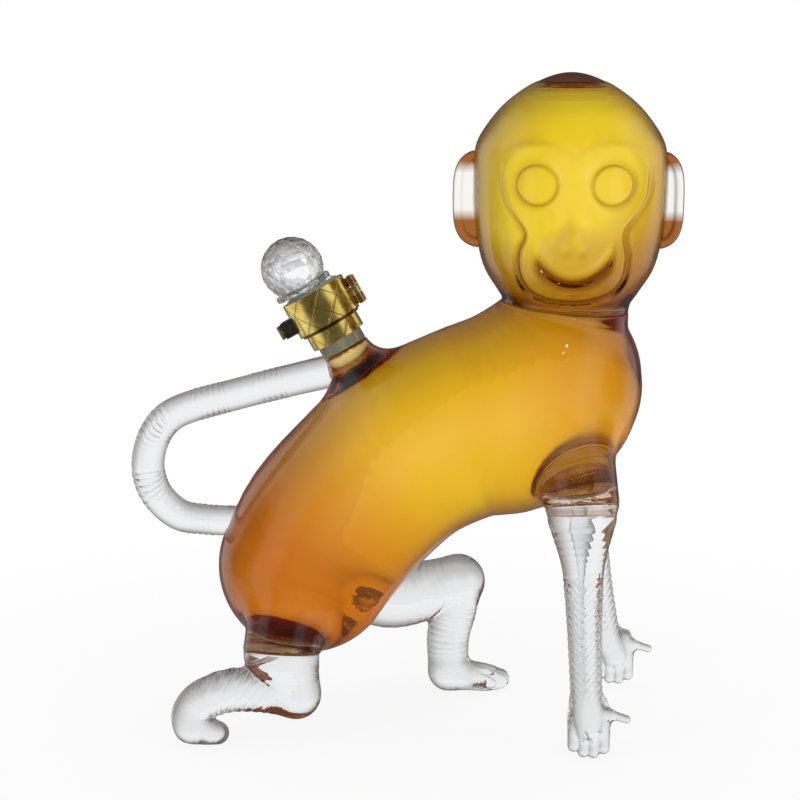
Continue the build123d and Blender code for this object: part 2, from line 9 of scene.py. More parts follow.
import concurrent.futures
import logging
import math
from dataclasses import dataclass
from enum import Enum
from functools import partial
from typing import Callable, Sequence

import bpy
import numpy as np
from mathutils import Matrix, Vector


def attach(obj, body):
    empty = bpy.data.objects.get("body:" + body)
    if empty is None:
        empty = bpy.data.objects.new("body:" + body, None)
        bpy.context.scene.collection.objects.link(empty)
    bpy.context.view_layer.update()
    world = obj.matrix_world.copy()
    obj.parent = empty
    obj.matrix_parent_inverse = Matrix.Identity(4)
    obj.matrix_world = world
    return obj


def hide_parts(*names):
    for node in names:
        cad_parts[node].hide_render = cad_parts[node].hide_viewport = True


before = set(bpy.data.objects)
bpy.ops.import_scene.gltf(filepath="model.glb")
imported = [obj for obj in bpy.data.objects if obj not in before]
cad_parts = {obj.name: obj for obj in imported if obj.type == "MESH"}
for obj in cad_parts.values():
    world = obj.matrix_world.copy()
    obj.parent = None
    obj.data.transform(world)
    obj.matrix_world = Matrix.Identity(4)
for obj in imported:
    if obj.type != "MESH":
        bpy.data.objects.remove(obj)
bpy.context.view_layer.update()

LOG = logging.getLogger("decanter")
MM = 0.001
DECANTER = "decanter"
STOPPER = "stopper"

Points = np.ndarray
Field = Callable[[Points], np.ndarray]
BoxedField = tuple[Field, np.ndarray, np.ndarray]
Skin = tuple[np.ndarray, np.ndarray]
Material = bpy.types.Material
Socket = bpy.types.NodeSocket
Triple = tuple[float, float, float]
Colour = Triple
Stops = Sequence[tuple[float, Colour]]

# Solver: cells to a block's side, how far a block looks for the surface, and the rounds of fitting,
# with their probe and longest move in cells and the least slope they reckon with.
BLOCK = 4
HALF_DIAGONAL = 0.87
SLACK = 1.35
LEAST_REACH = 1.2
ROUNDS = 2
PROBE = 0.12
LEAST_SLOPE = 0.2
LONGEST_MOVE = 0.5
CORNERS = [(i, j, k) for i in (0, 1) for j in (0, 1) for k in (0, 1)]
FAR = 1e9
TINY = 1e-9
ON_AXIS = 1e-6
TURN_STEPS = 96

# Face, as offsets across and heights in millimetres.
FACE_MIDDLE = 1.9
EYES = (-15.1, 15.2)
EYE_HEIGHT = 236.2
MOUTH_HEIGHT = 197.4
MOUTH_RISE = 8.4
MOUTH_HALF = 15.2

# Vessel: how far pieces reach into one another, the foot of the neck's tube, and the tone, place and
# width of a stub's bands.
LAP = 0.03
LIQUOR_LAP = 0.3
LIQUOR_SEAM_LAP = 0.12
LIMB_LAP = 0.1
SLEEVE = 2.0
NECK_FOOT = -13.0
STUB_BANDS = ((0.9, 9.0, 2.6), (0.75, 4.0, 1.9), (0.35, 13.5, 2.0))
UP = np.array((0.0, 0.0, 1.0))
BALL_RADIUS = 0.0134

# Finishes: detail of the glass's waves, and scale, detail and stretch of the brush lines.
WHITE: Colour = (1.0, 1.0, 1.0)
WAVE_DETAIL = 1.5
BRUSH = (900.0, 3.0)
BRUSH_STRETCH = (0.04, 0.04, 1.0)


class Shape(Enum):
    """Ways in which two fields are joined, as widths in which they run into each other."""

    FINGER = 1.0
    RIM = 1.5
    CREASE = 1.6
    ANKLE = 2.0
    KNEE = 2.5
    THROAT = 3.0
    WRIST = 4.0
    SOFT = 7.0
    WIDE = 13.0


def vec(*values: float) -> np.ndarray:
    """Row of numbers as an array."""
    return np.array(values, float)


def unit(direction: np.ndarray) -> np.ndarray:
    """Direction scaled to a length of one."""
    return direction / np.linalg.norm(direction)


def smooth_step(low: float, high: float, value: np.ndarray) -> np.ndarray:
    """Smooth rise from 0 at low to 1 at high."""
    share = np.clip((value - low) / (high - low), 0.0, 1.0)
    return share * share * (3.0 - 2.0 * share)


def bump(value: np.ndarray, width: float) -> np.ndarray:
    """Bell shape, 1 at zero, whose half width is given."""
    return np.exp(-((value / width) ** 2))


def uneven_bump(value: np.ndarray, above: float, below: float) -> np.ndarray:
    """Bell shape with one half width above zero and another below."""
    return np.where(value > 0, bump(value, above), bump(value, below))


def join(first: np.ndarray, second: np.ndarray, shape: Shape) -> np.ndarray:
    """Union of two fields.

    Args:
        first: Distances to one form.
        second: Distances to the other form.
        shape: How widely the two forms run into each other.

    Returns:
        Distances to the joined form.
    """
    width = shape.value
    share = np.clip(0.5 + 0.5 * (second - first) / width, 0.0, 1.0)
    return second + (first - second) * share - width * share * (1.0 - share)


def cut(form: np.ndarray, tool: np.ndarray) -> np.ndarray:
    """Form with a tool's form taken out of it."""
    return np.maximum(form, -tool)


def through(knots: np.ndarray, steps: int) -> np.ndarray:
    """Points on a smooth curve through the knots.

    Args:
        knots: One row for each knot, of any number of columns.
        steps: Steps from one knot to the next.

    Returns:
        The knots and the points between them.
    """
    padded = np.vstack([2 * knots[0] - knots[1], knots, 2 * knots[-1] - knots[-2]])
    rows = []
    for index in range(1, len(padded) - 2):
        p0, p1, p2, p3 = padded[index - 1:index + 3]
        for t in np.arange(steps) / steps:
            rows.append(0.5 * (2 * p1 + (p2 - p0) * t + (2 * p0 - 5 * p1 + 4 * p2 - p3) * t * t
                               + (3 * p1 - p0 - 3 * p2 + p3) * t ** 3))
    return np.array(rows + [knots[-1]])


def grid_of(counts: Sequence[int]) -> np.ndarray:
    """Rows of whole numbers that count through a grid."""
    grid = np.meshgrid(*[np.arange(n) for n in counts], indexing="ij")
    return np.stack(grid, -1).reshape(-1, len(counts))


@dataclass
class Chain:
    """Round limb: a smooth run of balls of changing radius."""

    points: np.ndarray
    radii: np.ndarray
    margin: float = 16.0

    @classmethod
    def along(cls, knots: Sequence[Sequence[float]], radii: Sequence[float], steps: int) -> Chain:
        """Chain on a smooth curve through knots, each with its radius."""
        rows = through(np.column_stack([np.array(knots, float), np.array(radii, float)]), steps)
        return cls(rows[:, :3], rows[:, 3])

    def locate(self, points: Points, inset: float = 0.0) -> tuple[np.ndarray, np.ndarray]:
        """Distance of each point from the chain's skin, and how far along the chain it lies."""
        low = (self.points - self.radii[:, None]).min(0) - self.margin
        high = (self.points + self.radii[:, None]).max(0) + self.margin
        near = np.all((points > low) & (points < high), axis=1)
        distance = np.full(len(points), self.margin)
        place = np.zeros(len(points))
        if not near.any():
            return distance, place
        spots = points[near]
        best = np.full(len(spots), FAR)
        along = np.zeros(len(spots))
        start = 0.0
        for a, b, ra, rb in zip(self.points, self.points[1:], self.radii, self.radii[1:]):
            way = b - a
            length = float(np.linalg.norm(way))
            share = np.clip((spots - a) @ way / (length * length), 0.0, 1.0)
            gap = np.linalg.norm(spots - a - share[:, None] * way, axis=1) - (ra + (rb - ra) * share)
            better = gap < best
            best[better] = gap[better]
            along[better] = start + share[better] * length
            start += length
        distance[near] = best + inset
        place[near] = along
        return distance, place

    def __call__(self, points: Points, inset: float = 0.0) -> np.ndarray:
        """Distance of each point from the chain's skin, drawn in by an inset."""
        return self.locate(points, inset)[0]

    def between(self, along: np.ndarray, rise: Sequence[float], fall: Sequence[float]) -> np.ndarray:
        """Share from 0 at the chain's ends to 1 along its middle, with fall counted back from the end."""
        length = float(np.linalg.norm(np.diff(self.points, axis=0), axis=1).sum())
        return smooth_step(*rise, along) * (1 - smooth_step(length - fall[0], length - fall[1], along))


@dataclass
class Outline:
    """Closed flat outline, kept as a table of signed distances."""

    corners: np.ndarray
    on_axis: bool = False
    grain: float = 0.4
    margin: float = 16.0

    def __post_init__(self) -> None:
        """Fill the table."""
        self.low = self.corners.min(0) - self.margin
        span = self.corners.max(0) + self.margin - self.low
        self.counts = np.ceil(span / self.grain).astype(int) + 2
        flat = self.low + grid_of(self.counts) * self.grain
        best = np.full(len(flat), FAR)
        inside = np.zeros(len(flat), bool)
        for a, b in zip(self.corners, np.roll(self.corners, -1, axis=0)):
            edge = b - a
            squared = float(edge @ edge)
            if squared < ON_AXIS ** 2:
                continue
            share = np.clip((flat - a) @ edge / squared, 0.0, 1.0)
            if not self.on_axis or max(abs(a[0]), abs(b[0])) > ON_AXIS:
                best = np.minimum(best, np.linalg.norm(flat - a - share[:, None] * edge, axis=1))
            if a[1] != b[1]:
                crosses = (a[1] > flat[:, 1]) != (b[1] > flat[:, 1])
                at = a[0] + (flat[:, 1] - a[1]) / (b[1] - a[1]) * edge[0]
                inside ^= crosses & (flat[:, 0] < at)
        self.table = np.where(inside, -best, best).reshape(self.counts)

    def __call__(self, across: np.ndarray, up: np.ndarray) -> np.ndarray:
        """Signed distance at each place, read between the table's rows."""
        u = np.clip((across - self.low[0]) / self.grain, 0.0, self.counts[0] - 1.001)
        v = np.clip((up - self.low[1]) / self.grain, 0.0, self.counts[1] - 1.001)
        i, j = u.astype(int), v.astype(int)
        u, v = u - i, v - j
        near = self.table[i, j] * (1 - v) + self.table[i, j + 1] * v
        far = self.table[i + 1, j] * (1 - v) + self.table[i + 1, j + 1] * v
        return near * (1 - u) + far * u


@dataclass
class Lathe:
    """Field of a form turned round an axis."""

    origin: np.ndarray
    way: np.ndarray
    corners: np.ndarray

    def __post_init__(self) -> None:
        """Keep the half outline of radius and height as a table."""
        self.outline = Outline(self.corners, on_axis=True)

    def __call__(self, points: Points) -> np.ndarray:
        """Distance of each point from the turned skin."""
        away = points - self.origin
        height = away @ self.way
        return self.outline(np.linalg.norm(away - height[:, None] * self.way, axis=1), height)


def sample(form: Field, low: np.ndarray, high: np.ndarray, step: float) -> np.ndarray:
    """Field's values on a grid, worked out finely only in blocks that the surface may pass."""
    counts = (np.ceil((high - low) / step / BLOCK).astype(int) + 1) * BLOCK
    blocks = counts // BLOCK
    centres = grid_of(blocks)
    rough = form(low + (centres * BLOCK + (BLOCK - 1) / 2) * step)
    values = np.kron(rough.reshape(blocks), np.ones((BLOCK, BLOCK, BLOCK)))
    active = centres[np.abs(rough) < step * BLOCK * HALF_DIAGONAL * SLACK + LEAST_REACH]
    cells = (active[:, None, :] * BLOCK + grid_of([BLOCK] * 3)[None, :, :]).reshape(-1, 3)
    values[tuple(cells.T)] = form(low + cells * step)
    values[np.abs(values) < TINY] = TINY
    return values


def net_points(values: np.ndarray, inside: np.ndarray) -> tuple[np.ndarray, np.ndarray]:
    """A point in each cell that the surface crosses, in cell widths, and its number by cell."""
    nx, ny, nz = (n - 1 for n in values.shape)
    filled = sum(inside[i:nx + i, j:ny + j, k:nz + k].astype(np.int8) for i, j, k in CORNERS)
    mixed = (filled > 0) & (filled < 8)
    where = np.argwhere(mixed)
    index = np.full(mixed.shape, -1)
    index[mixed] = np.arange(len(where))
    heights = {corner: values[tuple((where + corner).T)] for corner in CORNERS}
    total = np.zeros((len(where), 3))
    number = np.zeros(len(where))
    for corner in CORNERS:
        for axis in range(3):
            if corner[axis]:
                continue
            other = tuple(v + (n == axis) for n, v in enumerate(corner))
            crossing = (heights[corner] < 0) != (heights[other] < 0)
            drop = np.where(crossing, heights[corner] - heights[other], 1)
            spot = np.tile(np.array(corner, float), (len(where), 1))
            spot[:, axis] += np.where(crossing, heights[corner] / drop, 0)
            total[crossing] += spot[crossing]
            number[crossing] += 1
    return where + total / number[:, None], index


def net_faces(inside: np.ndarray, index: np.ndarray) -> np.ndarray:
    """Face of four corners round each grid edge that the surface crosses."""
    counts = inside.shape
    faces = []
    for axis in range(3):
        u, v = (axis + 1) % 3, (axis + 2) % 3
        first = inside[tuple(slice(0, -1) if n == axis else slice(0, None) for n in range(3))]
        second = inside[tuple(slice(1, None) if n == axis else slice(0, None) for n in range(3))]
        change = np.argwhere(first != second)
        change = change[(change[:, u] > 0) & (change[:, v] > 0)]
        change = change[(change[:, u] < counts[u] - 1) & (change[:, v] < counts[v] - 1)]
        leaving = first[tuple(change.T)]
        ring = []
        for du, dv in ((1, 1), (0, 1), (0, 0), (1, 0)):
            at = change.copy()
            at[:, u] -= du
            at[:, v] -= dv
            ring.append(index[tuple(at.T)])
        quads = np.stack(ring, 1)
        quads[~leaving] = quads[~leaving][:, ::-1]
        faces.append(quads)
    faces = np.vstack(faces)
    return faces[(faces >= 0).all(1)]


def even_out(vertices: np.ndarray, edges: np.ndarray) -> np.ndarray:
    """Vertices moved halfway to the middle of their neighbours."""
    summed = np.zeros_like(vertices)
    degree = np.zeros(len(vertices))
    for a, b in ((0, 1), (1, 0)):
        for n in range(3):
            summed[:, n] += np.bincount(edges[:, a], vertices[edges[:, b], n], len(vertices))
        degree += np.bincount(edges[:, a], minlength=len(vertices))
    return 0.5 * vertices + 0.5 * summed / degree[:, None]


def draw_to(form: Field, vertices: np.ndarray, step: float) -> np.ndarray:
    """Vertices moved along the field's slope onto its surface."""
    tiny = PROBE * step
    here = form(vertices)
    slope = np.stack([(form(vertices + tiny * np.eye(3)[n]) - here) / tiny for n in range(3)], 1)
    size = np.maximum((slope ** 2).sum(1), LEAST_SLOPE)
    move = -(here / size)[:, None] * slope
    length = np.linalg.norm(move, axis=1, keepdims=True)
    return vertices + move * np.minimum(1.0, LONGEST_MOVE * step / np.maximum(length, TINY))


def solve(form: Field, low: np.ndarray, high: np.ndarray, step: float) -> Skin:
    """Closed surface where a field is zero, by surface nets drawn onto the field.

    Args:
        form: Field of signed distances in millimetres.
        low: Lowest corner of the box that is searched.
        high: Highest corner of that box.
        step: Size of the cells.

    Returns:
        Vertices in millimetres and faces of four corners.
    """
    values = sample(form, low, high, step)
    inside = values < 0
    points, index = net_points(values, inside)
    vertices = low + points * step
    faces = net_faces(inside, index)
    edges = np.vstack([faces[:, [n, (n + 1) % 4]] for n in range(4)])
    for _ in range(ROUNDS):
        vertices = draw_to(form, even_out(vertices, edges), step)
    for _ in range(ROUNDS):
        vertices = draw_to(form, vertices, step)
    return vertices, faces


def solve_all(jobs: dict[str, tuple]) -> dict[str, Skin]:
    """Several surfaces solved side by side.

    Args:
        jobs: Arguments of solve for each name.

    Returns:
        Vertices and faces for each name.
    """
    with concurrent.futures.ThreadPoolExecutor(max_workers=4) as pool:
        running = {name: pool.submit(solve, *job) for name, job in jobs.items()}
        return {name: job.result() for name, job in running.items()}


def new_object(name: str, data: bpy.types.ID) -> bpy.types.Object:
    """New object in the scene."""
    piece = bpy.data.objects.new(name, data)
    bpy.context.scene.collection.objects.link(piece)
    return piece


def make_object(name: str, vertices: np.ndarray, faces: np.ndarray | list) -> bpy.types.Object:
    """Smoothly shaded object at the origin from vertices in millimetres.

    Args:
        name: Name of the piece.
        vertices: Rows of X, Y and Z.
        faces: Corner numbers of each face.

    Returns:
        The new object, linked to the scene.
    """
    mesh = bpy.data.meshes.new(name)
    mesh.from_pydata((vertices * MM).tolist(), [], [list(map(int, f)) for f in faces])
    mesh.validate()
    mesh.update()
    mesh.shade_smooth()
    LOG.info("%s: %d faces", name, len(mesh.polygons))
    return new_object(name, mesh)


@dataclass(frozen=True)
class Build:
    """Cell sizes of the solved surfaces, in millimetres."""

    torso: float = 1.3
    head: float = 0.84
    ear: float = 0.5
    liquor: float = 1.3
    limb: float = 0.55
    quick_limb: float = 0.95

    def limb_cell(self) -> float:
        """Cell size of a limb in this run."""
        return self.limb


class Graph:
    """Small helper that lays out a node tree and hands on its sockets."""

    def __init__(self, tree: bpy.types.NodeTree) -> None:
        """Start with an empty tree."""
        self.tree = tree
        tree.nodes.clear()

    def put(self, kind: str, feeds: dict[str | int, object] | None = None,
            **settings: object) -> bpy.types.Node:
        """New node.

        Args:
            kind: Type of the node.
            feeds: Value or source socket of each input, by name or number.
            settings: Settings of the node itself, such as its operation.

        Returns:
            The node.
        """
        node = self.tree.nodes.new(kind)
        for key, value in settings.items():
            setattr(node, key, value)
        for key, value in (feeds or {}).items():
            if isinstance(value, Socket):
                self.tree.links.new(value, node.inputs[key])
            else:
                node.inputs[key].default_value = value
        return node

    def math(self, operation: str, *terms: Socket | float) -> Socket:
        """Result of a Math node."""
        return self.put("ShaderNodeMath", dict(enumerate(terms)), operation=operation).outputs[0]

    def size(self, first: Socket, second: Socket) -> Socket:
        """Length of two sides at right angles."""
        squares = [self.math("MULTIPLY", side, side) for side in (first, second)]
        return self.math("SQRT", self.math("ADD", *squares))

    def remap(self, source: Socket, ends: Sequence[float] = (0.0, 1.0), onto: Sequence[float] = (0.0, 1.0),
              kind: str = "LINEAR") -> Socket:
        """Value laid from one range onto another."""
        feeds = {"Value": source, "From Min": ends[0], "From Max": ends[1], "To Min": onto[0],
                 "To Max": onto[1]}
        return self.put("ShaderNodeMapRange", feeds, interpolation_type=kind).outputs[0]

    def rise(self, source: Socket, low: float, high: float) -> Socket:
        """Smooth share from 0 at low to 1 at high."""
        return self.remap(source, (low, high), kind="SMOOTHSTEP")

    def ramp(self, source: Socket, stops: Stops) -> Socket:
        """Colour of a ramp over a value."""
        node = self.put("ShaderNodeValToRGB", {"Fac": source})
        elements = node.color_ramp.elements
        while len(elements) < len(stops):
            elements.new(0.5)
        for element, (place, colour) in zip(elements, stops):
            element.position = place
            element.color = (*colour, 1.0)
        return node.outputs["Color"]

    def split(self, vector: Socket) -> list[Socket]:
        """X, Y and Z of a vector."""
        return list(self.put("ShaderNodeSeparateXYZ", {"Vector": vector}).outputs)

    def coordinates(self, kind: str = "Object") -> Socket:
        """Texture coordinates of a kind."""
        return self.put("ShaderNodeTexCoord").outputs[kind]


class Nodes(Graph):
    """Node tree of a material round a Principled shader."""

    def __init__(self, name: str, **values: object) -> None:
        """Start a material, with values for the shader's own sockets."""
        self.material = bpy.data.materials.new(name)
        self.material.use_nodes = True
        super().__init__(self.material.node_tree)
        self.output = self.put("ShaderNodeOutputMaterial")
        sockets = {key.replace("_", " "): value for key, value in values.items()}
        self.shader = self.put("ShaderNodeBsdfPrincipled", sockets)
        self.tree.links.new(self.shader.outputs["BSDF"], self.output.inputs["Surface"])

    def feed(self, source: Socket, into: str = "Base Color") -> None:
        """Join a source to one of the shader's sockets."""
        self.tree.links.new(source, self.shader.inputs[into])

    def place(self, scale: Sequence[float] = (1, 1, 1), turn: Sequence[float] = (0, 0, 0)) -> Socket:
        """Object coordinates, scaled and turned."""
        feeds = {"Vector": self.coordinates(), "Scale": scale, "Rotation": turn}
        return self.put("ShaderNodeMapping", feeds).outputs["Vector"]

    def noise(self, scale: float, detail: float = WAVE_DETAIL, place: Socket | None = None) -> Socket:
        """Noise on object coordinates."""
        feeds = {"Scale": scale, "Detail": detail, "Vector": self.place() if place is None else place}
        return self.put("ShaderNodeTexNoise", feeds).outputs["Fac"]

    def facing(self) -> Socket:
        """How far the surface turns away from the eye."""
        return self.put("ShaderNodeLayerWeight", {"Blend": 0.5}).outputs["Facing"]

    def attribute(self, name: str) -> Socket:
        """Value that the mesh carries under a name."""
        return self.put("ShaderNodeAttribute", attribute_name=name).outputs["Fac"]

    def mix(self, share: Socket | float, first: Socket, second: Socket | Colour,
            kind: str = "MIX") -> Socket:
        """Colour between two others, or their product."""
        other = second if isinstance(second, Socket) else (*second, 1.0)
        feeds = {"Factor": share, "A": first, "B": other}
        return self.put("ShaderNodeMix", feeds, data_type="RGBA", blend_type=kind).outputs["Result"]

    def relief(self, source: Socket, strength: float, depth: float) -> None:
        """Bump from a value, into the shader's normal."""
        feeds = {"Strength": strength, "Distance": depth, "Height": source}
        self.feed(self.put("ShaderNodeBump", feeds).outputs["Normal"], "Normal")


@dataclass(frozen=True)
class GlassFinish:
    """Clear glass with the faint waves that blowing leaves."""

    name: str
    colour: Colour
    ior: float
    wave_scale: float = 38.0
    wave_depth: float = 0.00025
    wave_strength: float = 0.12
    body: float = 0.0

    def make(self) -> Material:
        """Material of this finish."""
        nodes = Nodes(self.name, Base_Color=(*self.colour, 1.0), Transmission_Weight=1.0 - self.body,
                      IOR=self.ior, Roughness=0.0)
        nodes.relief(nodes.noise(self.wave_scale), self.wave_strength, self.wave_depth)
        return nodes.material


@dataclass(frozen=True)
class VesselFinish:
    """Blown wall with painted light and shade: amber darkening away from a painted glow, at the rims and in
    the grooves.
    """

    name: str
    # Centre and reach across X and Z of the painted glow, then the painted shade's colour far from it and
    # where that shade starts.
    glow: tuple[float, float]
    reach: tuple[float, float]
    painted_shade: Colour
    clear: float
    # Colours of the painted shade at the rims, where the wall turns away from the eye.
    rim: Colour
    edge: Colour = (0.98, 0.88, 0.76)
    # Colour of the painted shade in the face's grooves and at the stub ends.
    hollow: Colour = (0.40, 0.23, 0.10)
    ior: float = 1.42

    def make(self) -> Material:
        """Material of this finish."""
        nodes = Nodes(self.name, Transmission_Weight=1.0, IOR=self.ior, Roughness=0.0)
        # Painted shade at the rims: the wall darkens as it turns away.
        edges = nodes.ramp(nodes.facing(), [(0.08, WHITE), (0.52, self.edge), (0.90, self.rim)])
        x, _, z = nodes.split(nodes.place())
        sides = [nodes.math("DIVIDE", nodes.math("SUBTRACT", place, middle), size)
                 for place, middle, size in zip((x, z), self.glow, self.reach)]
        # Painted light and shade: white near the glow, darkening to the painted shade colour farther off.
        depth = nodes.ramp(nodes.size(*sides), [(self.clear, WHITE), (1.0, self.painted_shade)])
        # Painted shade in the face's grooves and at the stub ends, weighed by the shade attribute.
        shade_tint = nodes.ramp(nodes.attribute("shade"), [(0.0, WHITE), (1.0, self.hollow)])
        tint = nodes.mix(1.0, edges, depth, "MULTIPLY")
        nodes.feed(nodes.mix(1.0, tint, shade_tint, "MULTIPLY"))
        nodes.relief(nodes.noise(30.0), 0.10, 0.0003)
        return nodes.material


@dataclass(frozen=True)
class LiquorFinish:
    """Amber liquor, coloured by how much of it the light crosses."""

    name: str
    absorbs: Colour
    density: float
    ior: float = 1.36

    def make(self) -> Material:
        """Material of this finish."""
        nodes = Nodes(self.name, Base_Color=(1.0, 0.99, 0.95, 1.0), Transmission_Weight=1.0, IOR=self.ior,
                      Roughness=0.0)
        feeds = {"Color": (*self.absorbs, 1.0), "Density": self.density}
        volume = nodes.put("ShaderNodeVolumeAbsorption", feeds)
        nodes.tree.links.new(volume.outputs["Volume"], nodes.output.inputs["Volume"])
        return nodes.material


@dataclass(frozen=True)
class CrystalFinish:
    """Cut crystal with painted light and shade: each facet gets a random grey between the dim colour and
    white.
    """

    name: str = "cut_crystal"
    dim: Colour = (0.42, 0.44, 0.48)

    def make(self) -> Material:
        """Material of this finish."""
        nodes = Nodes(self.name, Transmission_Weight=1.0, IOR=1.6, Roughness=0.0)
        # Painted light and shade: each facet's random value runs from the dim colour to white.
        nodes.feed(nodes.ramp(nodes.attribute("painted_facet_light"), [(0.1, self.dim), (0.55, WHITE)]))
        nodes.relief(nodes.noise(60.0), 0.05, 0.00005)
        return nodes.material


@dataclass(frozen=True)
class EarFinish:
    """Clear ear with painted shade in amber at its two ends and along its rim, where it turns away."""

    name: str = "ear_glass"
    clear: Colour = (0.97, 0.96, 0.93)
    # Colour of the painted shade.
    amber: Colour = (0.38, 0.13, 0.03)
    middle: float = 0.2305
    spread: float = 50.0

    def make(self) -> Material:
        """Material of this finish."""
        nodes = Nodes(self.name, Transmission_Weight=1.0, IOR=1.47, Roughness=0.0)
        # Painted shade: amber towards the top and bottom ends, and along the rim as the ear turns away.
        height = nodes.split(nodes.place())[2]
        away = nodes.math("ABSOLUTE", nodes.math("SUBTRACT", height, self.middle))
        edge = nodes.rise(nodes.facing(), 0.20, 0.65)
        share = nodes.math("MAXIMUM", nodes.math("MULTIPLY", away, self.spread),
                           nodes.math("MULTIPLY", edge, 0.60))
        nodes.feed(nodes.ramp(share, [(0.38, self.clear), (0.62, self.amber)]))
        nodes.relief(nodes.noise(90.0), 0.1, 0.0002)
        return nodes.material


@dataclass(frozen=True)
class MetalFinish:
    """Brushed brass, with tone that drifts and fine lines round the band."""

    name: str
    light: Colour
    dark: Colour
    roughness: tuple[float, float]
    line_turn: Triple = (0.0, 0.5166, 0.0)

    def make(self) -> Material:
        """Material of this finish."""
        nodes = Nodes(self.name, Metallic=1.0)
        nodes.feed(nodes.ramp(nodes.noise(180.0, 4.0), [(0.3, self.dark), (0.62, self.light)]))
        lines = nodes.noise(*BRUSH, nodes.place(BRUSH_STRETCH, self.line_turn))
        nodes.feed(nodes.remap(lines, onto=self.roughness), "Roughness")
        nodes.relief(lines, 0.25, 0.00008)
        return nodes.material


@dataclass(frozen=True)
class BandFinish:
    """Brass of the clamp: a lattice of engraved diamonds, a dark step and knuckles of their own tone."""

    name: str
    knuckle: Colour
    foot: Triple
    tilt: float
    light: Colour = (0.96, 0.77, 0.22)
    dark: Colour = (0.70, 0.49, 0.11)
    # Dark colour laid along the engraved lines and the step between the two bands.
    line_dark: Colour = (0.16, 0.075, 0.02)
    diamonds: float = 8.0
    diamond_tall: float = 0.0112
    hatches: float = 7.0
    step_height: float = 0.0236
    knuckle_reach: float = 0.0149

    def make(self) -> Material:
        """Material of this finish."""
        nodes = Nodes(self.name, Metallic=1.0)
        feeds = {"Vector": nodes.coordinates(), "Location": self.foot, "Rotation": (0.0, -self.tilt, 0.0)}
        local = nodes.put("ShaderNodeMapping", feeds, vector_type="TEXTURE")
        x, y, z = nodes.split(local.outputs["Vector"])
        around = nodes.math("MULTIPLY", nodes.math("ARCTAN2", y, x), self.diamonds / (2 * math.pi))
        up = nodes.math("DIVIDE", z, self.diamond_tall)
        leaning = nodes.math("ADD", around, up)
        left = nodes.math("PINGPONG", leaning, 0.5)
        right = nodes.math("PINGPONG", nodes.math("SUBTRACT", around, up), 0.5)
        near = nodes.math("MINIMUM", left, right)
        fine = nodes.math("PINGPONG", nodes.math("MULTIPLY", leaning, self.hatches), 0.5)
        hatch = nodes.math("MULTIPLY", nodes.rise(fine, 0.12, 0.0), nodes.rise(near, 0.17, 0.10))
        line = nodes.math("MAXIMUM", nodes.rise(near, 0.045, 0.015), nodes.math("MULTIPLY", hatch, 0.55))
        away = nodes.math("ABSOLUTE", nodes.math("SUBTRACT", z, self.step_height))
        step = nodes.rise(away, 0.0010, 0.0006)
        outside = nodes.rise(nodes.size(x, y), self.knuckle_reach - 0.0002, self.knuckle_reach)
        tone = nodes.ramp(nodes.noise(190.0, 4.0), [(0.32, self.dark), (0.60, self.light)])
        mask = nodes.math("MAXIMUM", nodes.math("MULTIPLY", line, 0.5), step)
        nodes.feed(nodes.mix(mask, nodes.mix(outside, tone, self.knuckle), self.line_dark))
        brushed = nodes.noise(*BRUSH, nodes.place(BRUSH_STRETCH, (0.0, self.tilt, 0.0)))
        nodes.feed(nodes.remap(brushed, onto=(0.14, 0.27)), "Roughness")
        nodes.relief(nodes.math("SUBTRACT", nodes.math("MULTIPLY", brushed, 0.15), line), 0.6, 0.00016)
        return nodes.material


@dataclass(frozen=True)
class CoatFinish:
    """Opaque finish with a mottled tone, such as lacquer."""

    name: str
    light: Colour
    dark: Colour
    roughness: tuple[float, float]
    grain_scale: float
    coat: float = 0.0

    def make(self) -> Material:
        """Material of this finish."""
        nodes = Nodes(self.name, Coat_Weight=self.coat, Coat_Roughness=0.05)
        grain = nodes.noise(self.grain_scale, 3.0)
        nodes.feed(nodes.ramp(grain, [(0.35, self.dark), (0.65, self.light)]))
        nodes.feed(nodes.remap(grain, onto=self.roughness), "Roughness")
        nodes.relief(grain, 0.15, 0.00005)
        return nodes.material


def dress(piece: bpy.types.Object, material: Material) -> None:
    """Give a piece one material."""
    piece.data.materials.clear()
    piece.data.materials.append(material)


@dataclass
class Figure:
    """Measures of the figure that the CAD model and this scene share, in millimetres."""

    rear_x: float = -79.8
    span: float = 180.0
    rise: float = 156.0
    belly_height: float = 26.5
    wall: float = 2.6
    back: tuple = ((0.021, 0.371), (0.093, 0.528), (0.203, 0.672), (0.328, 0.808), (0.486, 0.904),
                   (0.561, 0.931), (0.617, 0.959), (0.656, 0.982), (0.693, 1.013))
    belly: tuple = ((0.402, 0.149), (0.451, 0.220), (0.531, 0.324), (0.606, 0.394), (0.717, 0.446),
                    (0.856, 0.492), (0.950, 0.606), (0.957, 0.792), (0.972, 0.986))
    neck_share: tuple = (0.338, 0.814)
    neck_tilt: float = 29.6
    neck_radius: float = 10.0
    bore_radius: float = 7.2
    neck_root: float = 11.4
    lip_radius: float = 12.2
    lip_height: float = 6.0
    lip_top: float = 40.4
    liquor_level: float = 10.6

    def place(self, x_share: float, z_share: float, y: float = 0.0) -> np.ndarray:
        """Point in the torso's own span and rise."""
        return vec(self.rear_x + x_share * self.span, y, self.belly_height + z_share * self.rise)

    def __post_init__(self) -> None:
        """Work out the places that several pieces share."""
        backs = np.array([self.place(*share) for share in self.back])
        bellies = np.array([self.place(*share) for share in self.belly])
        self.middles = (backs + bellies) / 2
        self.radii = np.linalg.norm(bellies - backs, axis=1) / 2
        self.seam = self.middles[-1]
        across = unit(bellies[-1] - backs[-1])
        self.seam_way = unit(np.cross(across, vec(0, 1, 0)))
        if self.seam_way[2] < 0:
            self.seam_way = -self.seam_way
        tilt = math.radians(self.neck_tilt)
        self.neck_way = vec(-math.sin(tilt), 0, math.cos(tilt))
        self.neck_side = vec(math.cos(tilt), 0, math.sin(tilt))
        self.neck_start = self.place(*self.neck_share)


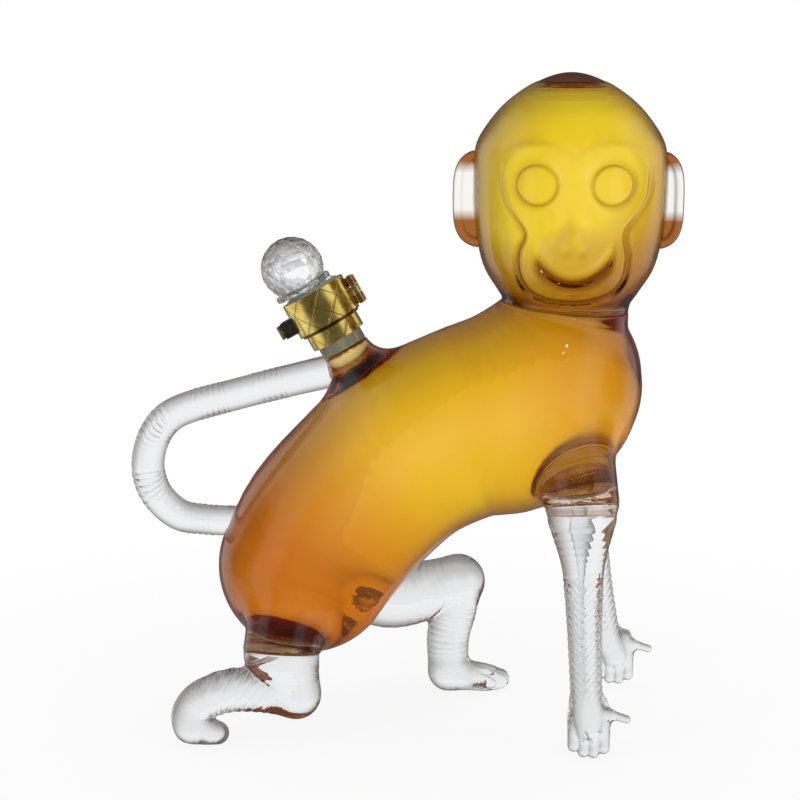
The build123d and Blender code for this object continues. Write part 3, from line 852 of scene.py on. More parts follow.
@dataclass
class Stub:
    """Hollow stub that carries a limb, with a turn that tips its flat end."""

    root: np.ndarray
    end: np.ndarray
    root_radius: float
    radius: float
    turn: Triple

    @property
    def way(self) -> np.ndarray:
        """Direction in which the stub's end looks."""
        return unit(self.end - self.root + np.array(self.turn))

    def face(self, points: Points) -> np.ndarray:
        """Distance past the stub's flat end."""
        return (points - self.end) @ self.way

    def outer(self, points: Points) -> np.ndarray:
        """Field of the stub, cut off flat at its end with a rounded rim."""
        beyond = self.end + unit(self.end - self.root) * self.radius
        chain = Chain(np.array([self.root, self.end, beyond]),
                      np.array([self.root_radius, self.radius, self.radius]))
        return -join(-chain(points), -self.face(points), Shape.RIM)

    def inner(self, points: Points, wall: float) -> np.ndarray:
        """Field of the hollow in the stub, rounded off one wall before its end."""
        stop = self.end - unit(self.end - self.root) * self.radius
        chain = Chain(np.array([self.root, stop]), np.array([self.root_radius - wall, self.radius - wall]))
        return chain(points)


class Vessel:
    """Hollow body and head of the figure, and the liquor in them."""

    def __init__(self, figure: Figure, build: Build) -> None:
        """Set out the forms that the walls are worked out from."""
        self.figure = figure
        self.build = build
        f = figure
        self.spine = Chain.along(f.middles, f.radii, 4)
        shoulder = [f.place(0.850, 0.660, side * 20.0) for side in (-1, 1)]
        self.shoulders = [Stub(root, root + vec(4.0, side * 15.6, -25.0), 16.5, 15.5, (0, 0, -28.0))
                          for root, side in zip(shoulder, (-1, 1))]
        near = f.place(0.190, 0.215, -18.0)
        self.near_hip = Stub(near, near + vec(-2.5, -16.9, -22.0), 17.6, 16.3, (0, 0, -44.0))
        far = f.place(0.240, 0.225, 16.0)
        self.far_hip = Stub(far, far + vec(11.0, 17.0, -11.0), 17.5, 16.0, (4.0, 0, 2.0))
        self.stubs = [*self.shoulders, self.near_hip, self.far_hip]
        self.head = Lathe(f.seam, UP, self.head_outline(0.0))
        self.hollow_head = Lathe(f.seam, UP, self.head_outline(f.wall))
        self.plate = Outline(self.plate_outline())

    @staticmethod
    def head_outline(inset: float) -> np.ndarray:
        """Half outline of the head as radius and height above the seam."""
        width, height = 80.4, 93.0
        shares = np.array([(0.600, -0.060), (0.630, 0.005), (0.735, 0.075), (0.895, 0.195), (0.982, 0.382),
                           (1.000, 0.554), (0.980, 0.715), (0.848, 0.823), (0.648, 0.920), (0.375, 1.000)])
        knots = shares * (width / 2, height)
        top = [(8.0, height + 0.6), (0.0, height + 0.7)]
        if inset:
            top = [(6.0, height + 0.9), (0.0, height + 1.0)]
        curve = through(np.vstack([knots, top]), 5)
        if inset:
            away = np.gradient(curve, axis=0)
            normal = np.column_stack([away[:, 1], -away[:, 0]])
            curve = curve - inset * normal / np.linalg.norm(normal, axis=1, keepdims=True)
            curve[:, 0] = np.maximum(curve[:, 0], 0.0)
        return np.vstack([curve, (0.0, knots[0, 1])])

    def along_neck(self, points: Points) -> tuple[np.ndarray, np.ndarray]:
        """Height along the neck and distance from its axis."""
        away = points - self.figure.neck_start
        height = away @ self.figure.neck_way
        return height, np.linalg.norm(away - height[:, None] * self.figure.neck_way, axis=1)

    @staticmethod
    def plate_outline() -> np.ndarray:
        """Raised mask of brows, cheeks and muzzle, as offsets across and heights."""
        rows = [
            (-29.3, 238.3), (-28.7, 244.5), (-25.8, 249.5), (-20.2, 252.1), (-12.0, 252.1), (-6.0, 249.8),
            (0.0, 247.2), (5.0, 249.8), (11.2, 252.1), (19.6, 251.8), (26.0, 248.8), (29.2, 244.2),
            (29.6, 235.3), (27.6, 228.5), (23.5, 222.7), (20.0, 217.9), (19.7, 213.4), (20.8, 207.7),
            (20.4, 201.9), (18.8, 196.3), (14.6, 191.8), (7.6, 189.4), (0.0, 188.7), (-9.0, 189.4),
            (-15.8, 191.8), (-19.9, 196.3), (-21.8, 202.7), (-21.5, 209.6), (-19.6, 214.1),
            (-19.5, 217.9), (-23.3, 223.2), (-27.3, 229.2),
        ]
        return through(np.array(rows + rows[:1]), 4)[:-1]

    def ears(self, points: Points) -> np.ndarray:
        """Field of both ears: a rolled rim of squarish outline round a thin web."""
        f = self.figure
        best = np.full(len(points), 40.0)
        power, semi_up = 3.4, 19.0
        rim_radius, half_web = 1.75, 0.8
        depth = points[:, 1]
        for side, semi_out in ((-1, 15.3), (1, 13.9)):
            out = (points[:, 0] - f.seam[0]) * side - 31.7
            up = points[:, 2] - f.seam[2] - 44.9
            a = np.maximum(out, 0.0) / semi_out
            b = np.abs(up) / semi_up
            level = (a ** power + b ** power + TINY) ** (1 / power)
            slope = np.hypot((a / level) ** (power - 1) / semi_out, (b / level) ** (power - 1) / semi_up)
            gap = (level - 1.0) / np.maximum(slope, 0.02)
            rim = np.hypot(gap, depth) - rim_radius
            web = np.maximum(np.abs(depth) - half_web, gap)
            best = np.minimum(best, np.maximum(join(rim, web, Shape.CREASE), -out))
        return best

    def face_place(self, points: Points) -> tuple[np.ndarray, np.ndarray]:
        """Offset across the face and height of each point."""
        return points[:, 0] - self.figure.seam[0] - FACE_MIDDLE, points[:, 2]

    @staticmethod
    def over_lips(u: np.ndarray, w: np.ndarray) -> np.ndarray:
        """Distance above the curved line of the mouth."""
        line = MOUTH_HEIGHT + MOUTH_RISE * (u / MOUTH_HALF) ** 2
        slope = 2 * MOUTH_RISE * u / MOUTH_HALF ** 2
        return (w - line) / np.sqrt(1.0 + slope ** 2)

    def relief(self, points: Points) -> np.ndarray:
        """How far the face stands out from the plain head, in millimetres."""
        u, w = self.face_place(points)
        front = smooth_step(0.0, -12.0, points[:, 1])
        edge = self.plate(u, w)
        low_share = 1.0 - smooth_step(216.0, 226.0, w)
        top_share = smooth_step(238.0, 248.0, w)
        blur = 1.5 * top_share
        out = (1.1 - 0.7 * top_share) * (1.0 - smooth_step(-1.1 - blur, 0.7 + blur, edge))
        out -= (0.35 + 0.75 * low_share - 0.3 * top_share) * bump(edge - 1.0, 1.2)
        muzzle = np.hypot(u / 21.0, (w - 203.0) / 17.5)
        out += 2.5 * (1.0 - smooth_step(0.1, 1.05, muzzle))
        for middle in EYES:
            away = np.hypot(u - middle, w - EYE_HEIGHT)
            out -= 1.2 * bump(away, 12.5) * (1.0 - smooth_step(242.0, 252.0, w))
            out += 2.8 * np.sqrt(np.clip(1.0 - (away / 8.0) ** 2, 0.0, 1.0))
            out -= 0.6 * bump(away - 8.9, 1.1)
            out += 1.0 * bump(away - 14.5, 3.4) * smooth_step(-2.0, 8.0, w - EYE_HEIGHT)
        drop = (w - 215.0) / 6.5
        out += 2.6 * bump(u, 3.6 + 2.8 * smooth_step(1.0, -0.8, drop)) * bump(drop, 1.0)
        out += 0.8 * bump(u, 4.0) * bump(w - 226.0, 8.0)
        for side in (-1, 1):
            out -= 0.7 * bump(u - side * 3.2, 1.8) * bump(w - 209.8, 1.6)
        reach = 1.0 - smooth_step(14.0, 17.4, np.abs(u))
        over = self.over_lips(u, w)
        out -= 3.0 * uneven_bump(over, 3.4, 2.2) * reach
        out += 0.8 * bump(over + 4.6, 2.2) * reach * bump(u, 11.0)
        out -= 1.0 * bump(u, 3.4) * bump(w - 192.3, 1.5)
        return out * front

    def face_shade(self, points: Points) -> np.ndarray:
        """Painted shade in the grooves of the face, from 0 to 1, by how far into a groove each place lies;
        it darkens the head wall.
        """
        u, w = self.face_place(points)
        edge = self.plate(u, w)
        # Painted shade along the mask's edge, stronger low on the face and fainter at the top.
        strength = 0.20 + 0.38 * (1.0 - smooth_step(214.0, 230.0, w))
        painted_shade = strength * bump(edge - 0.6, 1.2) * (1.0 - 0.7 * smooth_step(236.0, 246.0, w))
        # Painted shade round each eye, darker at its lower side.
        for middle in EYES:
            lower = 0.30 + 0.30 * smooth_step(4.0, -8.0, (w - EYE_HEIGHT) - 0.4 * (u - middle))
            ring = bump(np.hypot(u - middle, w - EYE_HEIGHT) - 8.3, 1.1)
            painted_shade = np.maximum(painted_shade, lower * ring)
        # Painted shadow under the nose.
        painted_shade = np.maximum(painted_shade, 0.28 * bump(u, 6.0) * bump(w - 210.6, 2.6))
        # Painted shade in the groove of the mouth.
        reach = 1.0 - smooth_step(13.5, 17.0, np.abs(u))
        over = self.over_lips(u, w)
        painted_shade = np.maximum(painted_shade, uneven_bump(over, 1.5, 3.9) * reach)
        return painted_shade * smooth_step(-4.0, -14.0, points[:, 1])

    def stub_shade(self, points: Points) -> np.ndarray:
        """Dark wavy bands where the liquor ends in a stub, from 0 to 1."""
        painted_shade = np.zeros(len(points))
        for stub in (*self.shoulders, self.near_hip):
            away = points - stub.end
            gap = np.linalg.norm(away, axis=1) - stub.radius
            turn = np.arctan2(away[:, 1], away[:, 0])
            height = 1.1 * np.sin(3.0 * turn) + 0.6 * np.sin(7.0 * turn + 1.0) - stub.face(points)
            bands = sum(tone * bump(height - middle, width) for tone, middle, width in STUB_BANDS)
            painted_shade = np.maximum(painted_shade, bands * (1.0 - smooth_step(2.0, 8.0, gap)))
        return painted_shade

    def outer(self, points: Points) -> np.ndarray:
        """Field of the whole outside of the vessel."""
        f = self.figure
        body = self.spine(points)
        for stub in self.stubs:
            body = join(body, stub.outer(points), Shape.SOFT)
        height, away = self.along_neck(points)
        top = height - f.neck_root - 0.05
        neck = np.maximum(np.maximum(away - f.neck_radius, top), NECK_FOOT - height)
        flared = join(body, neck, Shape.WIDE)
        return np.where((height > f.neck_root - 2.0) & (away < 30), np.maximum(flared, top), flared)

    def head_skin(self, points: Points) -> np.ndarray:
        """Field of the outside of the head with its face."""
        return self.head(points) - self.relief(points)

    def ear_wall(self, points: Points) -> np.ndarray:
        """Field of the ears outside the head."""
        return cut(self.ears(points), self.head(points) - LAP)

    def past_seam(self, points: Points) -> np.ndarray:
        """Distance above the seam between head and torso."""
        return (points - self.figure.seam) @ self.figure.seam_way

    def hollow(self, points: Points, level: float | None = None) -> np.ndarray:
        """Field of the room inside the vessel.

        Args:
            points: Places to measure.
            level: Height along the neck where the room stops, or none where the bore runs on.

        Returns:
            Distances to the room's skin.
        """
        f = self.figure
        room = self.spine(points, f.wall)
        for stub in self.stubs:
            room = join(room, stub.inner(points, f.wall), Shape.SOFT)
        room = join(room, self.hollow_head(points), Shape.THROAT)
        height, away = self.along_neck(points)
        room = join(room, np.maximum(away - f.bore_radius, NECK_FOOT - height), Shape.WIDE)
        if level is None:
            return room
        return np.where((height > -6.0) & (away < 12.0), np.maximum(room, height - level), room)

    def torso_wall(self, points: Points) -> np.ndarray:
        """Field of the glass below the seam."""
        skin = join(self.outer(points), self.head(points), Shape.CREASE)
        return np.maximum(cut(skin, self.hollow(points)), self.past_seam(points) - LAP)

    def head_wall(self, points: Points) -> np.ndarray:
        """Field of the glass above the seam."""
        skin = join(self.spine(points), self.head_skin(points), Shape.CREASE)
        return np.maximum(cut(skin, self.hollow(points)), -self.past_seam(points) - LAP)

    def liquor(self, points: Points, side: float) -> np.ndarray:
        """Field of the liquor above (1) or below (-1) the seam, which reaches just into the wall."""
        room = self.hollow(points, self.figure.liquor_level) - LIQUOR_LAP
        return np.maximum(room, -side * self.past_seam(points) - LIQUOR_SEAM_LAP)

    def make(self) -> None:
        """Solve the walls and the liquor."""
        size = self.build
        below, above = partial(self.liquor, side=-1.0), partial(self.liquor, side=1.0)
        made = solve_all({
            "torso_glass": (self.torso_wall, vec(-84, -56, 24), vec(106, 56, 192), size.torso),
            "head_glass": (self.head_wall, vec(24, -48, 174), vec(116, 46, 281), size.head),
            "torso_liquor": (below, vec(-82, -54, 26), vec(106, 54, 192), size.liquor),
            "head_liquor": (above, vec(20, -44, 174), vec(114, 44, 280), size.liquor),
            "left_ear": (self.ear_wall, vec(96, -5, 205), vec(120, 5, 253), size.ear),
            "right_ear": (self.ear_wall, vec(16, -5, 205), vec(46, 5, 253), size.ear),
        })
        ears = EarFinish().make()
        finishes = {
            # Wall finishes: centre and reach of the painted glow, the painted shade's colour far from it
            # and where it starts, and the colour of the painted shade at the rims.
            "torso_glass": VesselFinish("torso_wall", (0.020, 0.134), (0.096, 0.086), (0.83, 0.56, 0.34),
                                        0.30, (0.64, 0.34, 0.14)).make(),
            "head_glass": VesselFinish("head_wall", (0.058, 0.246), (0.064, 0.060), (0.62, 0.40, 0.23),
                                       0.55, (0.40, 0.17, 0.05)).make(),
            "left_ear": ears, "right_ear": ears,
            "torso_liquor": LiquorFinish("torso_liquor", (0.984, 0.872, 0.0), 64.0).make(),
            "head_liquor": LiquorFinish("head_liquor", (0.989, 0.912, 0.0), 58.0).make(),
        }
        replaced = {"torso_glass": "torso_vessel", "head_glass": "head_vessel", "left_ear": "ear_left",
                    "right_ear": "ear_right"}
        # Painted shade of the face's grooves and the stub ends, kept on the walls.
        shades = {"head_glass": self.face_shade, "torso_glass": self.stub_shade}
        for name, (vertices, faces) in made.items():
            piece = make_object(name, vertices, faces)
            if name in shades:
                shade = piece.data.attributes.new("shade", "FLOAT", "POINT")
                shade.data.foreach_set("value", shades[name](vertices).astype(np.float32))
            dress(piece, finishes[name])
            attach(piece, DECANTER)
            if name in replaced:
                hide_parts(replaced[name])


def wave(place: np.ndarray, pitch: float, phase: float = 0.0) -> np.ndarray:
    """Rise and fall from -1 to 1, once in each pitch."""
    return np.sin(2 * math.pi * place / pitch + phase)


def joints(hip: np.ndarray, rows: Sequence[Triple]) -> list[np.ndarray]:
    """Points from offsets in X and Y from a hip and shares of its height."""
    return [vec(hip[0] + x, hip[1] + y, hip[2] * share) for x, y, share in rows]


class Limbs:
    """Solid glass arms, legs and tail, with the strokes pressed into them."""

    def __init__(self, vessel: Vessel, build: Build) -> None:
        """Keep the vessel, whose stubs the limbs start from, and the cell sizes."""
        self.vessel = vessel
        self.build = build

    def clear_of_body(self, limb: np.ndarray, points: Points, stub: Stub | None) -> np.ndarray:
        """Limb's field cut to the vessel's outside, which it just reaches into."""
        body = cut(limb, self.vessel.outer(points) + LIMB_LAP)
        return body if stub is None else np.maximum(body, -stub.face(points) - SLEEVE)

    def arm(self, stub: Stub, side: int, fore: float) -> BoxedField:
        """Field of an arm, and the box it lies in."""
        shoulder = stub.end
        tips = vec(shoulder[0] + fore, side * 46.0, 0.0)
        reach = tips - shoulder
        shares = ((0.18, 0.35, 0.800, 0.600), (0.30, 0.55, 0.660, 0.505), (0.45, 0.72, 0.500, 0.455),
                  (0.62, 0.86, 0.340, 0.430), (0.78, 0.95, 0.215, 0.410))
        rows = [(shoulder[0] + x * reach[0], shoulder[1] + y * reach[1], h * shoulder[2], r * stub.radius)
                for x, y, h, r in shares]
        rows = [(*shoulder, stub.radius - 0.25), *rows, (tips[0], tips[1], 14.0, 5.4)]
        table = np.array(rows)
        chain = Chain.along(table[:, :3], table[:, 3], 6)

        def form(points: Points) -> np.ndarray:
            """Distances to the arm's skin."""
            rod, along = chain.locate(points)
            across = points[:, 0] - np.interp(points[:, 2], table[::-1, 2], table[::-1, 0])
            strokes = wave(along + 1.1 * np.abs(across), 3.4)
            rod = rod - 0.15 * strokes * chain.between(along, (24.0, 34.0), (16, 8))
            hand = rounded_box(points - tips - vec(0, 0, 20.0), vec(7.3, 2.5, 6.0), 2.4)
            for number, tip_height in enumerate((5.0, 2.7, 2.5, 4.4)):
                middle = (number - 1.5) * 4.3
                root, tip = tips + vec(middle, 0.0, 18.5), tips + vec(middle * 0.96, 0, tip_height)
                hand = join(hand, capsule(points, root, tip, 2.5), Shape.FINGER)
            thumb = capsule(points, tips + vec(5.0, 0, 20.5), tips + vec(15.4, 0, 17.2), 1.7)
            whole = join(rod, join(hand, thumb, Shape.WRIST), Shape.WRIST)
            return self.clear_of_body(np.maximum(whole, -points[:, 2]), points, stub)

        low = vec(shoulder[0] - 18, min(side * 20, side * 56), -0.5)
        high = vec(tips[0] + 20, max(side * 20, side * 56), shoulder[2] + 8)
        return form, low, high

    def near_leg(self) -> BoxedField:
        """Field of the hind leg that trails, and the box it lies in."""
        stub = self.vessel.near_hip
        hip = stub.end
        upper, knee = joints(hip, [(3.0, -2.4, 0.78), (6.8, -4.6, 0.565)])
        *calf, ankle = joints(hip, [(-7.7, -6.1, 0.618), (-21.7, -7.2, 0.605), (-32.7, -7.6, 0.486),
                                    (-38.2, -8.0, 0.33), (-37.2, -8.4, 0.205)])
        toes = joints(hip, [(-31.7, -9.1, 0.155), (-26.2, -9.9, 0.135)])
        thigh = Chain.along([hip, upper, knee], [16.0, 13.2, 9.9], 5)
        shin = Chain.along([knee, *calf, ankle], [9.9, 9.5, 9.1, 8.6, 7.8, 7.6], 6)
        foot = Chain.along([ankle, *toes], [7.7, 6.2, 4.9], 5)

        def form(points: Points) -> np.ndarray:
            """Distances to the leg's skin."""
            lower, along = shin.locate(points)
            strokes = wave(along + 0.9 * (points[:, 2] - hip[2] * 0.6), 4.2)
            lower = lower - 0.14 * strokes * shin.between(along, (6.0, 12.0), (16, 6))
            leg = join(join(thigh(points), lower, Shape.KNEE), foot(points), Shape.ANKLE)
            return self.clear_of_body(np.maximum(leg, -points[:, 2]), points, stub)

        return form, vec(-95, -56, -0.5), vec(-26, -16, 46)

    def far_leg(self) -> BoxedField:
        """Field of the hind leg that steps forward, and the box it lies in."""
        stub = self.vessel.far_hip
        hip = stub.end
        *above_knee, knee = joints(hip, [(15.8, 2.0, 0.860), (31.8, 3.5, 0.889), (48.3, 3.0, 0.998)])
        below_knee = joints(hip, [(46.3, 2.0, 0.731), (43.8, 0.5, 0.474), (44.3, -0.7, 0.19)])
        sole = joints(hip, [(44.3, -1.0, 0.170), (52.8, 0, 0.130), (60.8, 1.5, 0.103), (67.8, 3.0, 0.083)])
        thigh = Chain.along([hip, *above_knee, knee], [15.75, 15.3, 13.8, 11.4], 5)
        shin = Chain.along([knee, *below_knee], [11.4, 10.2, 9.6, 9.0], 6)
        foot = Chain.along(sole, [8.8, 6.8, 5.3, 3.6], 5)
        _, instep, ball, tip = (point[0] for point in sole)

        def form(points: Points) -> np.ndarray:
            """Distances to the leg's skin."""
            upper, above = thigh.locate(points)
            upper = upper - 0.13 * wave(above + 0.6 * points[:, 2], 4.6) * smooth_step(22, 32, above)
            lower, along = shin.locate(points)
            lower = lower - 0.13 * wave(along, 2.5) * shin.between(along, (6.0, 10.0), (12, 5))
            forward = points[:, 0]
            middle = np.interp(forward, [point[0] for point in sole], [point[1] for point in sole])
            across = points[:, 1] - middle
            widened = points.copy()
            widened[:, 1] = middle + across * (1 - 0.42 * smooth_step(instep - 6, ball, forward))
            comb = 0.55 * np.cos(2 * math.pi * across / 4.4) * smooth_step(ball - 6, tip - 3, forward)
            leg = join(join(upper, lower, Shape.KNEE), foot(widened) - comb, Shape.KNEE)
            return self.clear_of_body(np.maximum(leg, -points[:, 2]), points, stub)

        return form, vec(-40, 14, -0.5), vec(52, 56, 70)

    def tail(self) -> BoxedField:
        """Field of the tail that makes the carrying loop, and the box it lies in."""
        f = self.vessel.figure
        start = f.neck_start + f.neck_way * 4.5 + f.neck_side * -7.0
        back_x = f.rear_x - 31.4
        low = f.place(0, 0.417)
        end = f.place(0.050, 0.380)
        knots = [start, (start[0] - 22, 0, start[2] - 5.6), (start[0] - 44, 0, start[2] - 11.6),
                 (back_x + 14.5, 0, start[2] - 19.5), (back_x + 4.2, 0, start[2] - 29.0),
                 (back_x, 0, start[2] - 43.0), (back_x + 3.0, 0, low[2] + 6.5),
                 (back_x + 12.8, 0, low[2] - 3.2), (back_x + 25, 0, low[2] - 5.4), end]
        chain = Chain.along(knots, [7.2, 6.9, 6.8, 6.9, 7.0, 7.1, 7.0, 6.9, 6.6, 6.6], 6)

        def form(points: Points) -> np.ndarray:
            """Distances to the tail's skin."""
            rod, along = chain.locate(points)
            groups = smooth_step(-0.35, 0.25, wave(along, 27.0, 0.7))
            ridges = wave(along + 0.45 * points[:, 1], 2.6)
            rod = rod - 0.17 * ridges * groups * smooth_step(10, 18, along)
            neck = self.vessel.along_neck(points)[1] - f.neck_radius + LIMB_LAP
            cleared = np.where(neck < 40, cut(rod, neck), rod)
            return self.clear_of_body(cleared, points, None)

        return form, vec(-120, -9, 76), vec(-10, 9, 172)

    def make(self) -> None:
        """Solve and dress the limbs."""
        finish = GlassFinish("limb_glass", (0.90, 0.918, 0.935), 1.47, 55.0, 0.0003, 0.16).make()
        shoulders = self.vessel.shoulders
        jobs = {
            "arm_right": self.arm(shoulders[0], -1, 4.5),
            "arm_left": self.arm(shoulders[1], 1, 17.0),
            "leg_right": self.near_leg(),
            "leg_left": self.far_leg(),
            "tail_handle": self.tail(),
        }
        cell = self.build.limb_cell()
        solved = solve_all({node: (*job, cell) for node, job in jobs.items()})
        for node, (vertices, faces) in solved.items():
            piece = make_object(f"{node}_glass", vertices, faces)
            dress(piece, finish)
            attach(piece, DECANTER)
            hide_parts(node)


def rounded_box(points: Points, half: np.ndarray, rounding: float) -> np.ndarray:
    """Field of a box of given half sizes with rounded edges."""
    gap = np.abs(points) - half + rounding
    outside = np.linalg.norm(np.maximum(gap, 0.0), axis=1)
    return outside + np.minimum(gap.max(1), 0.0) - rounding


def capsule(points: Points, start: np.ndarray, end: np.ndarray, radius: float) -> np.ndarray:
    """Field of a rod with round ends."""
    way = end - start
    share = np.clip((points - start) @ way / float(way @ way), 0.0, 1.0)
    return np.linalg.norm(points - start - share[:, None] * way, axis=1) - radius


def turned(name: str, origin: np.ndarray, way: np.ndarray, side: np.ndarray,
           outline: Sequence[tuple[float, float]]) -> bpy.types.Object:
    """Piece turned from a closed outline of radius and height.

    Args:
        name: Name of the piece.
        origin: Foot of the axis.
        way: Direction of the axis.
        side: Direction of radius zero turn.
        outline: Rows of radius and height, counter-clockwise seen with radius to the right.

    Returns:
        The closed piece.
    """
    across = np.cross(way, side)
    rows = []
    rings: list[list[int]] = []
    for radius, height in outline:
        base = origin + way * height
        if radius < ON_AXIS:
            rings.append([len(rows)] * TURN_STEPS)
            rows.append(base)
            continue
        rings.append(list(range(len(rows), len(rows) + TURN_STEPS)))
        for step in range(TURN_STEPS):
            angle = 2 * math.pi * step / TURN_STEPS
            rows.append(base + radius * (math.cos(angle) * side + math.sin(angle) * across))
    faces = []
    for low, high in zip(rings, rings[1:] + rings[:1]):
        for step in range(TURN_STEPS):
            after = (step + 1) % TURN_STEPS
            loop = list(dict.fromkeys((low[step], low[after], high[after], high[step])))
            if len(loop) > 2:
                faces.append(loop)
    return make_object(name, np.array(rows), faces)


class Fittings:
    """Neck, crown seal, brass clamp and stopper."""

    def __init__(self, figure: Figure) -> None:
        """Take the figure's measures."""
        self.figure = figure

    def neck(self) -> None:
        """Clear neck with its rolled lip."""
        f = self.figure
        bore, shaft, lip, top = f.bore_radius, f.neck_radius, f.lip_radius, f.lip_top
        low = top - f.lip_height
        outline = [(bore, f.neck_root), (shaft, f.neck_root), (shaft, low - 0.6), (shaft + 0.3, low),
                   (lip - 0.9, low + 0.3), (lip, low + 1.4), (lip, top - 1.4), (lip - 0.5, top - 0.3),
                   (lip - 1.4, top), (bore + 0.4, top), (bore, top - 0.4)]
        piece = turned("neck_glass", f.neck_start, f.neck_way, f.neck_side, outline)
        dress(piece, GlassFinish("neck_glass", (0.84, 0.86, 0.62), 1.42, body=0.3).make())
        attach(piece, DECANTER)
        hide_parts("neck_tube")

    def crown(self) -> None:
        """Dark dome that closes the blow hole."""
        radius, height, foot = 14.8, 4.1, 93.0
        rim = [(0.0, foot - 0.4), (radius - 0.4, foot - 0.4), (radius, foot - 0.1)]
        dome = [(radius * share, foot + height * (1 - share * share) ** 1.15)
                for share in np.linspace(0.97, 0.0, 14)]
        piece = turned("crown_glass", self.figure.seam, UP, vec(1, 0, 0), rim + dome)
        finish = CoatFinish("crown_seal", (0.105, 0.034, 0.010), (0.055, 0.015, 0.005), (0.3, 0.45), 60.0)
        dress(piece, finish.make())
        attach(piece, DECANTER)
        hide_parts("crown_seal")

    def ball(self) -> None:
        """Cut crystal ball whose facets each get a random painted light and shade of their own."""
        f = self.figure
        centre = f.neck_start + f.neck_way * 51.7 - f.neck_side * 2.6
        tree = bpy.data.node_groups.new("cut_ball", "GeometryNodeTree")
        for label, way, kind in (("Radius", "INPUT", "Float"), ("Material", "INPUT", "Material"),
                                 ("Geometry", "OUTPUT", "Geometry")):
            tree.interface.new_socket(name=label, in_out=way, socket_type=f"NodeSocket{kind}")
        graph = Graph(tree)
        given = graph.put("NodeGroupInput").outputs
        feeds = {"Radius": given["Radius"], "Subdivisions": 3}
        shape = graph.put("GeometryNodeMeshIcoSphere", feeds).outputs["Mesh"]
        # Random painted light and shade for each facet.
        tone = graph.put("FunctionNodeRandomValue", {"Seed": 7}, data_type="FLOAT").outputs[1]
        for kind, values, settings in (
                ("GeometryNodeSetShadeSmooth", {"Shade Smooth": False}, {}),
                ("GeometryNodeTransform", {"Rotation": (0.35, 0.5, 0.2), "Translation": centre * MM}, {}),
                ("GeometryNodeRealizeInstances", {}, {}),
                ("GeometryNodeStoreNamedAttribute", {"Name": "painted_facet_light", "Value": tone},
                 {"data_type": "FLOAT", "domain": "FACE"}),
                ("GeometryNodeSetMaterial", {"Material": given["Material"]}, {})):
            shape = graph.put(kind, {"Geometry": shape, **values}, **settings).outputs["Geometry"]
        graph.put("NodeGroupOutput", {"Geometry": shape})
        finish = CrystalFinish().make()
        piece = from_tree("ball_crystal", tree, {"Radius": BALL_RADIUS, "Material": finish})
        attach(piece, STOPPER)
        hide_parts("stopper_ball")

    def dress_cad(self) -> None:
        """Give the CAD pieces that show their finishes."""
        foot = tuple(self.figure.neck_start * MM)
        tilt = math.radians(self.figure.neck_tilt)
        lacquer = CoatFinish("latch_lacquer", (0.012, 0.010, 0.010), (0.03, 0.024, 0.02), (0.18, 0.3),
                             500.0, coat=0.5)
        finishes = (
            (BandFinish("band_brass_rear", (0.66, 0.36, 0.15), foot, tilt), ("collar_rear",)),
            (BandFinish("band_brass_front", (0.93, 0.78, 0.30), foot, tilt), ("collar_front",)),
            (MetalFinish("plate_brass", (0.97, 0.84, 0.36), (0.86, 0.68, 0.24), (0.28, 0.4)),
             ("hinge_pin", "latch_button")),
            (lacquer, ("latch_box", "latch_tongue")),
            (GlassFinish("liner_film", (1.0, 0.99, 0.88), 1.12, 60.0, 0.0001, 0.05),
             ("liner_rear", "liner_front")),
            (GlassFinish("clear_silicone", (0.97, 0.98, 0.97), 1.2, 80.0, 0.0001, 0.08),
             ("stopper_rings", "stopper_gasket")),
            (GlassFinish("flange_glass", (0.98, 1.0, 0.99), 1.32, 30.0, 0.0001, 0.05),
             ("stopper_flange", "stopper_plug")),
        )
        for finish, names in finishes:
            material = finish.make()
            for name in names:
                dress(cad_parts[name], material)

    def make(self) -> None:
        """Build and dress the fittings."""
        self.neck()
        self.crown()
        self.ball()
        self.dress_cad()


def from_tree(name: str, tree: bpy.types.NodeTree, values: dict[str, object]) -> bpy.types.Object:
    """Plain mesh that a node tree makes.

    Args:
        name: Name of the piece.
        tree: Geometry Nodes tree.
        values: Inputs of the tree by name.

    Returns:
        Object at the origin with the tree's result as its mesh.
    """
    holder = new_object(f"{name}_source", bpy.data.meshes.new(f"{name}_source"))
    modifier = holder.modifiers.new("tree", "NODES")
    modifier.node_group = tree
    names = {item.name: item.identifier for item in tree.interface.items_tree if item.in_out == "INPUT"}
    for label, value in values.items():
        modifier[names[label]] = value
    graph = bpy.context.evaluated_depsgraph_get()
    mesh = bpy.data.meshes.new_from_object(holder.evaluated_get(graph))
    holder.modifiers.remove(modifier)
    bpy.data.objects.remove(holder)
    mesh.name = name
    LOG.info("%s: %d faces", name, len(mesh.polygons))
    return new_object(name, mesh)


